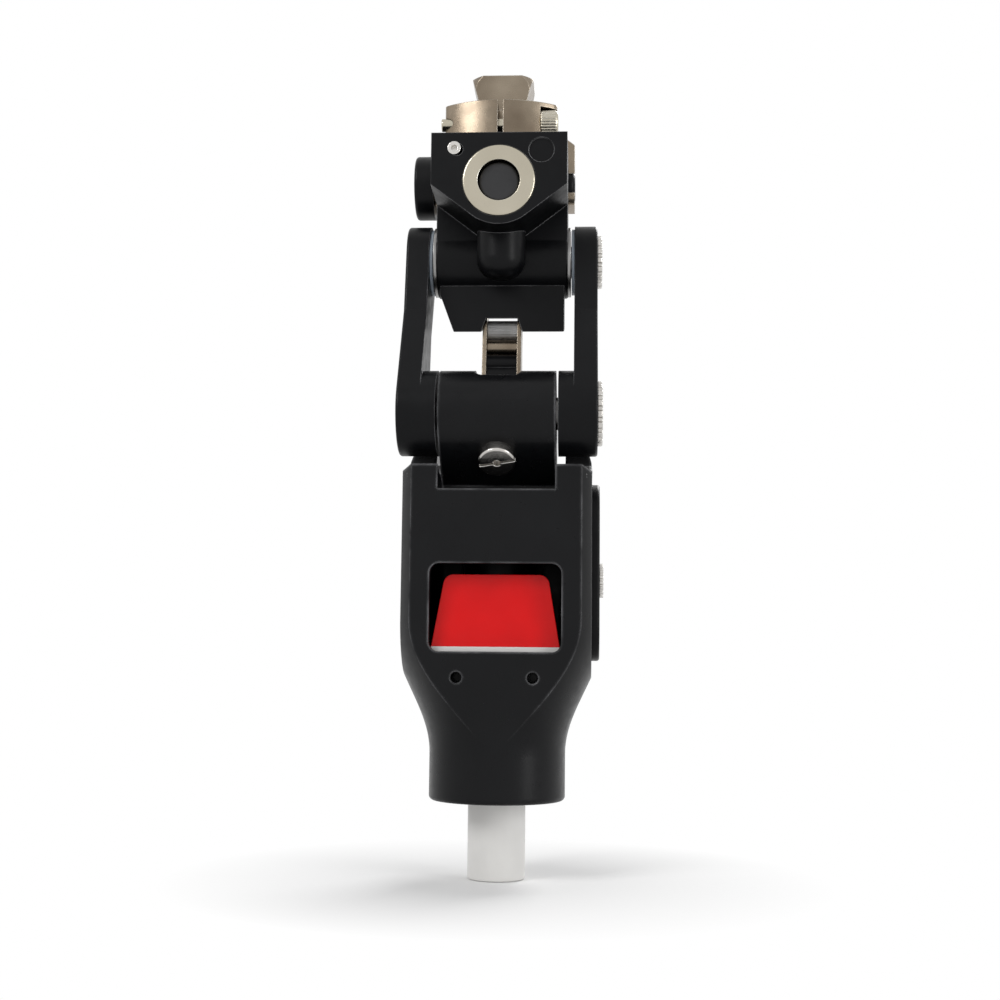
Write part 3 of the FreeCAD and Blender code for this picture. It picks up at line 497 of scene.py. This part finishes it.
def foot_round(radius, edge, start):
    """The profile of a rounded edge at the low end of a turned piece."""
    return [(radius - edge + edge * math.sin(turn), start + edge - edge * math.cos(turn))
            for turn in EDGE_TURNS]


def head_round(radius, edge, end):
    """The profile of a rounded edge at the high end of a turned piece."""
    return [(radius - edge + edge * math.cos(turn), end - edge + edge * math.sin(turn))
            for turn in EDGE_TURNS]


def rod(axis, centre, radius, start, end, low_edge=0.0, high_edge=0.0):
    """A cylinder with rounded edges where they are given."""
    low_end = foot_round(radius, low_edge, start) if low_edge else [(radius, start)]
    high_end = head_round(radius, high_edge, end) if high_edge else [(radius, end)]
    return lathe(axis, centre, low_end + high_end)


def bar(start, start_radius, end, end_radius, x0, x1):
    """A bar seen from the side: two round ends joined by their tangent lines."""
    along = math.atan2(end[1] - start[1], end[0] - start[0])
    spread = math.acos((start_radius - end_radius) / math.dist(start, end))
    steps = CIRCLE_STEPS // 2
    outline = arc(end, end_radius, along - spread, along + spread, steps)
    outline += arc(start, start_radius, along + spread, along - spread + 2 * math.pi, steps)
    return prism("X", outline, x0, x1)


def rounded(points, radii):
    """An outline whose corners are rounded by a radius each."""
    outline = []
    for i, radius in enumerate(radii):
        corner, before, after = (Vector(points[(i + step) % len(points)]) for step in (0, -1, 1))
        if not radius:
            outline.append(tuple(corner))
            continue
        back, ahead = (before - corner).normalized(), (after - corner).normalized()
        half = back.angle(ahead) / 2
        centre = corner + (back + ahead).normalized() * radius / math.sin(half)
        first = corner + back * radius / math.tan(half) - centre
        last = corner + ahead * radius / math.tan(half) - centre
        for step in range(CORNER_STEPS + 1):
            outline.append(tuple(centre + first.lerp(last, step / CORNER_STEPS).normalized() * radius))
    return outline


def toothed(centre, radius, teeth, depth):
    """The outline of fine straight knurling."""
    outline = []
    for step in range(4 * teeth):
        turn = math.pi * step / (2 * teeth)
        reach = radius - (depth if step % 4 in (0, 3) else 0.0)
        outline.append((centre[0] + reach * math.cos(turn), centre[1] + reach * math.sin(turn)))
    return outline


def both_sides(right):
    """An outline from its right half, mirrored."""
    return right + [(-x, z) for x, z in reversed(right)]


def combined(operation, base, tools):
    """The result of one boolean operation with each tool in turn. The work pieces are used up."""
    for tool in tools:
        modifier = base.modifiers.new("step", "BOOLEAN")
        modifier.operation = operation
        modifier.solver = "EXACT"
        modifier.object = tool
    graph = bpy.context.evaluated_depsgraph_get()
    graph.update()
    data = bpy.data.meshes.new_from_object(base.evaluated_get(graph))
    result = bpy.data.objects.new("work", data)
    bpy.context.scene.collection.objects.link(result)
    for piece in (base, *tools):
        bpy.data.objects.remove(piece)
    return result


def joined(base, *tools):
    """Work pieces made one."""
    return combined("UNION", base, tools)


def carved(base, *tools):
    """A work piece with tools cut out of it."""
    return combined("DIFFERENCE", base, tools)


def common(base, *tools):
    """What work pieces share."""
    return combined("INTERSECT", base, tools)


def publish(name, piece, body, slot, nodes=(), material=None):
    """Finishes a work piece, which rides a body and stands for the nodes given."""
    piece.name = name
    data = piece.data
    data.name = name
    data.materials.clear()
    data.materials.append(material or MATERIALS[slot])
    data.shade_smooth()
    data.set_sharp_from_angle(angle=SHARP_ANGLE)
    weighted = piece.modifiers.new("flats", "WEIGHTED_NORMAL")
    weighted.keep_sharp = True
    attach(piece, body)
    if nodes:
        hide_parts(*nodes)


def pivot(joint):
    """The (y, z) of a joint."""
    rows = {row["name"]: row for row in frame["record"]["behaviour"]["joints"]}
    return tuple(value / MM for value in rows[joint]["pos_m"][1:])


def node_axis(node):
    """The (y, z) of the middle of a node that lies along X."""
    low_corner, high_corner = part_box(node)
    return tuple((a + b) / 2 / MM for a, b in list(zip(low_corner, high_corner))[1:])


def between(start, end, share):
    """A point part of the way between two."""
    return (start[0] + share * (end[0] - start[0]), start[1] + share * (end[1] - start[1]))


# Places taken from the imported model, and what follows from them
LOWER_FRONT, UPPER_FRONT = pivot("knee_flexion"), pivot("head_flexion")
LOWER_REAR, UPPER_REAR = pivot("rear_link_swing"), node_axis("upper_link_pin")
REAR_AXLE, NUT = pivot("stance_rock"), pivot("preload_turn")[1]
HEAD_TOP = NUT + HEAD_RISE
CLAMP_BASE = HEAD_TOP + CLAMP_GAP
CLAMP_TOP = CLAMP_BASE + CLAMP_HEIGHT
CLAMP_SCREW = (SCREW_Y, CLAMP_TOP - SCREW_DROP)
LINK_DOWN = (Vector(LOWER_REAR) - Vector(UPPER_REAR)).normalized()
EYE_SLOT_END = (UPPER_REAR[0] + EYE_SLOT_DOWN * LINK_DOWN[0] + EYE_SLOT_FORWARD * LINK_DOWN[1],
                UPPER_REAR[1] + EYE_SLOT_DOWN * LINK_DOWN[1] - EYE_SLOT_FORWARD * LINK_DOWN[0])
LUG_GAP_FRONT = EYE_SLOT_END[0] - EYE_RADIUS - LUG_ROOM
LUG_FRONT = LUG_GAP_FRONT - LUG_LIP
LUG_LOW = UPPER_REAR[1] - LUG_DROP


def head_block():
    """The square front block, with chamfers that run into a round chin under the ring nut."""
    turn = math.atan2(-CHIN_DROP, HEAD_HALF) - math.acos(CHIN_RADIUS / math.hypot(HEAD_HALF, CHIN_DROP))
    side = NUT - CHIN_DROP
    outline = [(-HEAD_HALF, HEAD_TOP), (HEAD_HALF, HEAD_TOP), (HEAD_HALF, side)]
    outline += arc((0, NUT), CHIN_RADIUS, turn, -math.pi - turn, CIRCLE_STEPS // 3) + [(-HEAD_HALF, side)]
    return prism("Y", outline, HEAD_FRONT, REAR_AXLE[0] - HEAD_BLOCK_SETBACK)


def head_lug():
    """The lug behind the barrel, with a slanted left side and an underside that rises to the back."""
    outline = [(-LUG_HALF, UPPER_FRONT[1]), (-LUG_HALF, LUG_LOW + LUG_SLANT_HEIGHT),
               (-LUG_HALF + LUG_SLANT_WIDTH, LUG_LOW), (LUG_HALF, LUG_LOW), (LUG_HALF, UPPER_FRONT[1])]
    lug = prism("Y", rounded(outline, (0, 0, LUG_CORNER, LUG_CORNER, 0)), LUG_FRONT, LUG_BACK)
    front, back = LUG_FRONT - PAST, LUG_BACK + PAST
    front_low = LUG_LOW - LUG_UNDERSIDE_DROP
    back_low = LUG_LOW + (back - LUG_FRONT) * math.tan(LUG_UNDERSIDE)
    wedge = [(front, front_low), (back, back_low), (back, LUG_LOW - 3 * PAST), (front, LUG_LOW - 3 * PAST)]
    return carved(lug, prism("X", wedge, -FAR, FAR))


def head_neck():
    """The round neck between the front block and the barrel."""
    profile = foot_round(NECK_RADIUS, NECK_ROUND, UPPER_FRONT[1] - NECK_DROP)
    return lathe("Z", (0, NECK_Y), profile + [(NECK_RADIUS, NUT - NECK_TOP_DROP)])


def head_body():
    """The head behind its front block, with the ear of the rear axle."""
    half = HEAD_HALF - BODY_INSET
    foot, top = NUT + SPINE_FOOT_RISE, NUT + SPINE_TOP_RISE
    spine = [(SPINE_FRONT, foot), (SPINE_FRONT, top), (REAR_AXLE[0], top),
             (REAR_AXLE[0] + SPINE_EAR_REACH, REAR_AXLE[1]), (SPINE_BACK, foot)]
    body_foot, body_top = UPPER_FRONT[1] + BODY_FOOT_RISE, REAR_AXLE[1] - BODY_TOP_DROP
    return [
        block(-half, half, BODY_FRONT, BODY_BACK, body_foot, body_top),
        head_neck(),
        prism("X", spine, -EAR_HALF, EAR_HALF),
        rod("X", REAR_AXLE, EAR_RADIUS, -EAR_HALF - EAR_INSET, EAR_HALF + EAR_INSET),
    ]


def head_cuts():
    """The bores of nut, rubber and axles, the nose's slot, the small holes and the lug's slot and mouth."""
    front, end = HEAD_FRONT - PAST, HEAD_HALF + PAST
    mouth_top, low = UPPER_REAR[1] - MOUTH_DROP, LUG_LOW - PAST
    mouth = [(-MOUTH_HALF, mouth_top), (MOUTH_HALF, mouth_top), (MOUTH_FOOT_HALF, low),
             (-MOUTH_FOOT_HALF, low)]
    slot, slot_foot = NOSE_SLOT_HALF, NUT - NOSE_SLOT_DROP
    return [
        rod("Y", (0, NUT), NUT_BORE, front, NUT_BACK),
        rod("Y", (0, NUT), RUBBER_BORE, NUT_BACK - PAST, RUBBER_BACK + PAST),
        block(-slot, slot, RUBBER_BACK, NOSE_SLOT_BACK, slot_foot, HEAD_TOP + PAST),
        rod("X", UPPER_FRONT, BUSH_BORE, -end, -BUSH_END),
        rod("X", UPPER_FRONT, BUSH_BORE, BUSH_END, end),
        rod("X", UPPER_FRONT, AXLE_BORE, -BUSH_END - PAST, BUSH_END + PAST),
        rod("X", REAR_AXLE, REAR_AXLE_BORE, -end, end),
        rod("Y", (SET_SCREW[0], NUT + SET_SCREW[1]), SET_SCREW_BORE, front, SET_SCREW_END),
        rod("Y", (DIMPLE[0], NUT + DIMPLE[1]), DIMPLE_RADIUS, front, DIMPLE_END),
        block(-LUG_GAP_HALF, LUG_GAP_HALF, LUG_GAP_FRONT, FAR, low, UPPER_REAR[1] + LUG_GAP_RISE),
        prism("Y", mouth, LUG_FRONT - PAST, LUG_GAP_FRONT + PAST),
    ]


def knee_head():
    """The knee head: front block, neck, cross barrel, rear lug and the ear of the rear axle."""
    barrel = rod("X", UPPER_FRONT, BARREL_RADIUS, -HEAD_HALF, HEAD_HALF, BARREL_EDGE, BARREL_EDGE)
    return carved(joined(head_block(), barrel, head_lug(), *head_body()), *head_cuts())


def rocker_saddle():
    """The rocker's body over the rear axle, hollow between its two cheeks."""
    low, front, back = REAR_AXLE[1] - ROCKER_DROP, REAR_AXLE[0] - ROCKER_REACH, ROCKER_BACK
    right = [(ROCKER_HALF, low), (ROCKER_HALF, CLAMP_TOP - ROCKER_BEVEL_HEIGHT),
             (ROCKER_TOP_HALF, CLAMP_TOP)]
    bevel, foot = ROCKER_BEVEL_ROUND, ROCKER_FOOT_ROUND
    outline = rounded(both_sides(right), (0, bevel, bevel, bevel, bevel, 0))
    top = CLAMP_TOP + PAST
    side = rounded([(front, low), (back, low), (back, top), (front, top)], (foot, foot, 0, 0))
    saddle = common(prism("Y", outline, front - PAST, back + PAST),
                    prism("X", side, -ROCKER_HALF - PAST, ROCKER_HALF + PAST))
    half = ROCKER_ROOM_HALF
    room = block(-half, half, front - ROCKER_ROOM_PAST, back + ROCKER_ROOM_PAST, low - PAST, CLAMP_BASE)
    return carved(saddle, room, rod("X", REAR_AXLE, ROCKER_EAR_ROOM, -half, half))


def clamp_ring():
    """The split clamp on top, with a bowed front and straight sides."""
    spread = math.asin(CLAMP_HALF / CLAMP_BOW)
    middle = -math.pi / 2
    bow = arc((0, CLAMP_FRONT + CLAMP_BOW), CLAMP_BOW, middle - spread, middle + spread, CIRCLE_STEPS // 3)
    back = ROCKER_BACK - CLAMP_BACK_STEP
    radii = [CLAMP_CORNER] + [0] * (len(bow) - 2) + [CLAMP_CORNER, 0, 0]
    outline = rounded(bow + [(CLAMP_HALF, back), (-CLAMP_HALF, back)], radii)
    return prism("Z", outline, CLAMP_BASE, CLAMP_TOP)


def rocker():
    """The plated rocker: bowed split clamp, saddle over the rear axle and the nose behind the rubber."""
    nose = block(-NOSE_HALF, NOSE_HALF, NOSE_FRONT, NOSE_BACK, NUT - NOSE_DROP, CLAMP_BASE + PAST)
    y, z = CLAMP_SCREW
    slit, top, axle_end = CLAMP_SLIT_HALF, CLAMP_TOP + PAST, ROCKER_HALF + PAST
    return carved(
        joined(rocker_saddle(), clamp_ring(), nose),
        rod("Z", (0, 0), STEM_BORE, CLAMP_TOP - STEM_BORE_DEPTH, top),
        block(-slit, slit, CLAMP_FRONT - PAST, CLAMP_SLIT_BACK, CLAMP_BASE - PAST, top),
        rod("X", CLAMP_SCREW, SCREW_WAY, -SCREW_ROOM_END, SCREW_ROOM_END),
        rod("X", CLAMP_SCREW, SCREW_ROOM, SCREW_SEAT, SCREW_ROOM_END),
        block(SCREW_SEAT, SCREW_ROOM_END, CLAMP_FRONT - 2 * PAST, y, z - SCREW_ROOM, z + SCREW_ROOM),
        rod("X", REAR_AXLE, AXLE_WAY, -axle_end, axle_end),
        rod("X", REAR_AXLE, COUNTERBORE, COUNTERBORE_SEAT, axle_end))


def hexagon(centre, radius):
    """The outline of a hexagon socket."""
    return arc(centre, radius, steps=6)


def clamp_screw():
    """The socket cap screw of the pyramid clamp, with a knurled head."""
    face = SCREW_HEAD_SEAT + SCREW_HEAD_LENGTH
    layers = []
    for inset, depth, along in SCREW_HEAD_LAYERS:
        outline = toothed(CLAMP_SCREW, SCREW_HEAD_RADIUS - inset, SCREW_HEAD_TEETH, depth)
        layers.append((outline, SCREW_HEAD_SEAT + along))
    inside = SCREW_HEAD_SEAT + SCREW_SHANK_INSET
    shank = rod("X", CLAMP_SCREW, SCREW_SHANK, SCREW_SHANK_END, inside, SCREW_SHANK_EDGE)
    socket = prism("X", hexagon(CLAMP_SCREW, SCREW_SOCKET), face - SCREW_SOCKET_DEPTH, face + PAST)
    return carved(joined(stacked("X", layers), shank), socket)


def rear_axle():
    """The rocker's axle, with a broad disc on the left and a domed socket head on the right."""
    shaft = rod("X", REAR_AXLE, AXLE_RADIUS, AXLE_START, AXLE_END)
    disc = rod("X", REAR_AXLE, DISC_RADIUS, DISC_START, DISC_END, DISC_EDGE)
    head = rod("X", REAR_AXLE, DOME_RADIUS, DOME_START, DOME_END, 0.0, DOME_EDGE)
    socket = prism("X", hexagon(REAR_AXLE, DOME_SOCKET), DOME_SOCKET_START, DOME_END + PAST)
    return carved(joined(shaft, disc, head), socket)


def square(half):
    """The outline of a square about the origin."""
    return [(half, -half), (half, half), (-half, half), (-half, -half)]


def pyramid():
    """The inverted pyramid with turned corners, on its domed foot."""
    foot, top = CLAMP_TOP - PYRAMID_SINK, CLAMP_TOP + PYRAMID_RISE
    narrow = PYRAMID_HALF - (top - foot) * PYRAMID_TAPER
    taper = stacked("Z", [(square(narrow), foot), (square(PYRAMID_HALF), top)])
    turned = lathe("Z", (0, 0), [(PYRAMID_TURNED, foot - PAST), (PYRAMID_TURNED, top - PYRAMID_RIM_DROP),
                                 (PYRAMID_TOP_TURNED, top),
                                 (PYRAMID_TOP_TURNED - PYRAMID_PAST, top + PYRAMID_PAST)])
    radius = (STEM_RADIUS ** 2 + STEM_DOME ** 2) / (2 * STEM_DOME)
    crown = CLAMP_TOP + STEM_DOME
    turns = [math.asin(STEM_RADIUS / radius) * step / CORNER_STEPS for step in range(CORNER_STEPS, 0, -1)]
    dome = [(radius * math.sin(turn), crown - radius + radius * math.cos(turn)) for turn in turns]
    stem = lathe("Z", (0, 0), [(STEM_RADIUS, CLAMP_TOP - STEM_LENGTH)] + dome + [(STEM_DOME_TIP, crown)])
    return joined(common(taper, turned), stem)


def link_cheek(x0, x1):
    """A plated cheek of the rear link, with a slotted upper eye."""
    strip_end = between(LOWER_REAR, UPPER_REAR, CHEEK_STRIP_SHARE)
    inset, slot, strip = LAYER_INSET, CHEEK_SLOT_RADIUS, CHEEK_STRIP_RADIUS
    body = joined(
        bar(LOWER_REAR, CHEEK_FOOT_RADIUS, UPPER_REAR, EYE_RADIUS, x0, x1),
        bar(UPPER_REAR, EYE_RADIUS, EYE_SLOT_END, EYE_RADIUS + SEAM, x0 + inset, x1 - inset),
        bar(LOWER_REAR, strip, strip_end, strip + SEAM, x0 + 2 * inset, x1 - 2 * inset))
    return carved(body, bar(UPPER_REAR, slot, EYE_SLOT_END, slot + SEAM, x0 - PAST, x1 + PAST),
                  rod("X", LOWER_REAR, LINK_PIN_BORE, x0 - PAST, x1 + PAST))


def link_core():
    """The black block between the cheeks, with a cam at the top and the heel that drives the damper."""
    cam_y, cam_z = between(LOWER_REAR, UPPER_REAR, CAM_SHARE)
    heel = (LOWER_REAR[0] + HEEL_REACH, LOWER_REAR[1] - HEEL_DROP)
    top = between(LOWER_REAR, UPPER_REAR, CORE_TOP_SHARE)
    body = joined(
        rod("X", LOWER_REAR, CORE_EYE_RADIUS, -CORE_EYE_HALF, CORE_EYE_HALF),
        bar(LOWER_REAR, CORE_FOOT_RADIUS, top, CORE_TOP_RADIUS, -CORE_HALF, CORE_HALF),
        bar(LOWER_REAR, HEEL_ROOT_RADIUS, heel, HEEL_RADIUS, -HEEL_HALF, HEEL_HALF),
        rod("X", (cam_y - CAM_FORWARD, cam_z), CAM_RADIUS, -CAM_HALF, CAM_HALF))
    return carved(body, rod("X", LOWER_REAR, LINK_PIN_BORE, -CHEEK_OUTER, CHEEK_OUTER))


def flank(z):
    """Half the frame's width at a height."""
    return FLANK_FOOT_HALF + FLANK_WIDENING * (z - FLANK_FOOT) / FLANK_LENGTH


def frame_shoulders():
    """The frame's shoulders behind the links' lower bosses, which round in at the top."""
    low, high, above = SHOULDER_LOW, SHOULDER_TOP, ABOVE_SHOULDERS
    room, notch = SHOULDER_ROOM_HALF, SHOULDER_NOTCH_HALF
    widest = flank(SHOULDER_WIDEST)
    outline = both_sides([(flank(low), low)] + [(widest - inset, z) for inset, z in SHOULDER_CURVE])
    body = common(prism("Y", outline, SHOULDER_FRONT, SHOULDER_BACK),
                  rod("Z", (0, 0), SHOULDER_RADIUS, low - PAST, high + PAST))
    return carved(
        body,
        rod("X", LOWER_FRONT, SHOULDER_SCALLOP, -FAR, FAR),
        block(-room, room, SHOULDER_REAR_ROOM, FAR, SHOULDER_REAR_FLOOR, above),
        block(-notch, notch, -FAR, SHOULDER_NOTCH_BACK, SHOULDER_NOTCH_FLOOR, above),
        block(-room, room, 0, FAR, SHOULDER_ROOM_FLOOR, above))


def build_forms():
    """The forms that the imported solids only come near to."""
    publish("head_form", knee_head(), "head", "black_anodised", ["knee_head"])
    publish("rocker_form", rocker(), "rocker", "nickel", ["stance_rocker"])
    publish("clamp_screw_form", clamp_screw(), "rocker", "nickel", ["clamp_screw"], PALE_NICKEL)
    publish("rear_axle_form", rear_axle(), "rocker", "black_anodised", ["rear_axle"])
    publish("pyramid_form", pyramid(), "pyramid", "nickel", ["pyramid"])
    cheeks = joined(link_cheek(CHEEK_INNER, CHEEK_OUTER), link_cheek(-CHEEK_OUTER, -CHEEK_INNER))
    publish("link_cheeks_form", cheeks, "rear_link", "nickel", ["link_cheeks"])
    publish("link_core_form", link_core(), "rear_link", "black_anodised", ["link_core"])
    place = between(LOWER_REAR, UPPER_REAR, ROLLER_SHARE)
    roller = rod("X", place, ROLLER_RADIUS, -CHEEK_INNER, CHEEK_INNER)
    publish("link_roller_form", roller, "rear_link", "nickel", ["link_roller"])
    place = between(LOWER_REAR, UPPER_REAR, SPACER_SHARE)
    outline = toothed(place, SPACER_RADIUS, SPACER_TEETH, SPACER_TOOTH)
    spacer = prism("X", outline, -CHEEK_INNER, CHEEK_INNER)
    publish("link_spacer_form", spacer, "rear_link", "steel", ["link_spacer"])
    publish("frame_shoulders", frame_shoulders(), "chassis", "black_anodised", (), FRAME_FINISH)


def seen_directly(tree):
    """1 for camera, glossy and transmission rays, which see the white backdrop, and 0 for the rest."""
    path = tree.nodes.new("ShaderNodeLightPath")
    total = path.outputs["Is Camera Ray"]
    for name in ("Is Glossy Ray", "Is Transmission Ray"):
        larger = tree.nodes.new("ShaderNodeMath")
        larger.operation = "MAXIMUM"
        tree.links.new(total, larger.inputs[0])
        tree.links.new(path.outputs[name], larger.inputs[1])
        total = larger.outputs["Value"]
    return total


def pale_floor():
    """A pale floor that keeps the object's shadow and fades into the white surround."""
    bpy.ops.mesh.primitive_plane_add(size=FLOOR_SIZE, location=(0, 0, FLOOR_LEVEL))
    floor = bpy.context.object
    floor.name = "floor"
    surface = Surface("floor")
    tree = surface.tree
    surface.shader.inputs["Base Color"].default_value = FLOOR_COLOUR
    surface.shader.inputs["Roughness"].default_value = FLOOR_ROUGHNESS
    distance = tree.nodes.new("ShaderNodeVectorMath")
    distance.operation = "LENGTH"
    surface.link(surface.coordinates, distance.inputs[0])
    fade = surface.span(distance.outputs["Value"], 0.0, 1.0, FLOOR_FADE_START, FLOOR_FADE_END)
    white = surface.node("ShaderNodeEmission", Color=(1, 1, 1, 1), Strength=1.0)
    mix = tree.nodes.new("ShaderNodeMixShader")
    surface.link(surface.product(fade, seen_directly(tree)), mix.inputs[0])
    surface.link(surface.shader.outputs["BSDF"], mix.inputs[1])
    surface.link(white.outputs["Emission"], mix.inputs[2])
    surface.link(mix.outputs["Shader"], tree.nodes["Material Output"].inputs["Surface"])
    floor.data.materials.append(surface.material)


def white_surround():
    """A world that is white where it is seen, and lights the object softly."""
    world = bpy.data.worlds.new("studio")
    world.use_nodes = True
    bpy.context.scene.world = world
    tree = world.node_tree
    background = tree.nodes["Background"]
    background.inputs["Color"].default_value = (1, 1, 1, 1)
    strength = tree.nodes.new("ShaderNodeMapRange")
    strength.inputs["To Min"].default_value = WORLD_STRENGTH
    strength.inputs["To Max"].default_value = 1.0
    tree.links.new(seen_directly(tree), strength.inputs["Value"])
    tree.links.new(strength.outputs["Result"], background.inputs["Strength"])


def lamp(name, place, size, power, target=(0, 0, 0.11)):
    """A soft lamp that faces the object."""
    data = bpy.data.lights.new(name, "AREA")
    data.shape = "RECTANGLE"
    data.size, data.size_y = size
    data.energy = power
    obj = bpy.data.objects.new(name, data)
    bpy.context.scene.collection.objects.link(obj)
    obj.location = place
    obj.rotation_euler = (Vector(target) - Vector(place)).to_track_quat("-Z", "Y").to_euler()


def camera():
    """The photograph's camera."""
    azimuth, elevation = math.radians(CAMERA_AZIMUTH), math.radians(CAMERA_ELEVATION)
    roll = math.radians(CAMERA_ROLL)
    back = Vector((math.sin(azimuth) * math.cos(elevation), -math.cos(azimuth) * math.cos(elevation),
                   math.sin(elevation)))
    right = Vector((math.cos(azimuth), math.sin(azimuth), 0))
    up = back.cross(right)
    tilted_right = right * math.cos(roll) + up * math.sin(roll)
    tilted_up = back.cross(tilted_right)
    data = bpy.data.cameras.new("camera")
    data.lens = CAMERA_LENS
    data.sensor_width = CAMERA_SENSOR
    data.shift_x = CAMERA_SHIFT
    data.clip_start = CAMERA_CLIP
    obj = bpy.data.objects.new("camera", data)
    bpy.context.scene.collection.objects.link(obj)
    place = Vector(CAMERA_TARGET) + back * CAMERA_DISTANCE
    rotation = Matrix((tilted_right, tilted_up, back)).transposed()
    obj.matrix_world = Matrix.Translation(place) @ rotation.to_4x4()
    bpy.context.scene.camera = obj


dress_nodes()
build_forms()
pale_floor()
white_surround()
lamp("key", (-0.8, -0.9, 0.9), (0.5, 0.5), 8)
lamp("fill", (0.9, -0.6, 0.25), (0.3, 0.7), 4)
lamp("rim", (0.4, 0.8, 0.8), (0.5, 0.4), 6)
camera()
bpy.context.scene.view_settings.view_transform = "Standard"
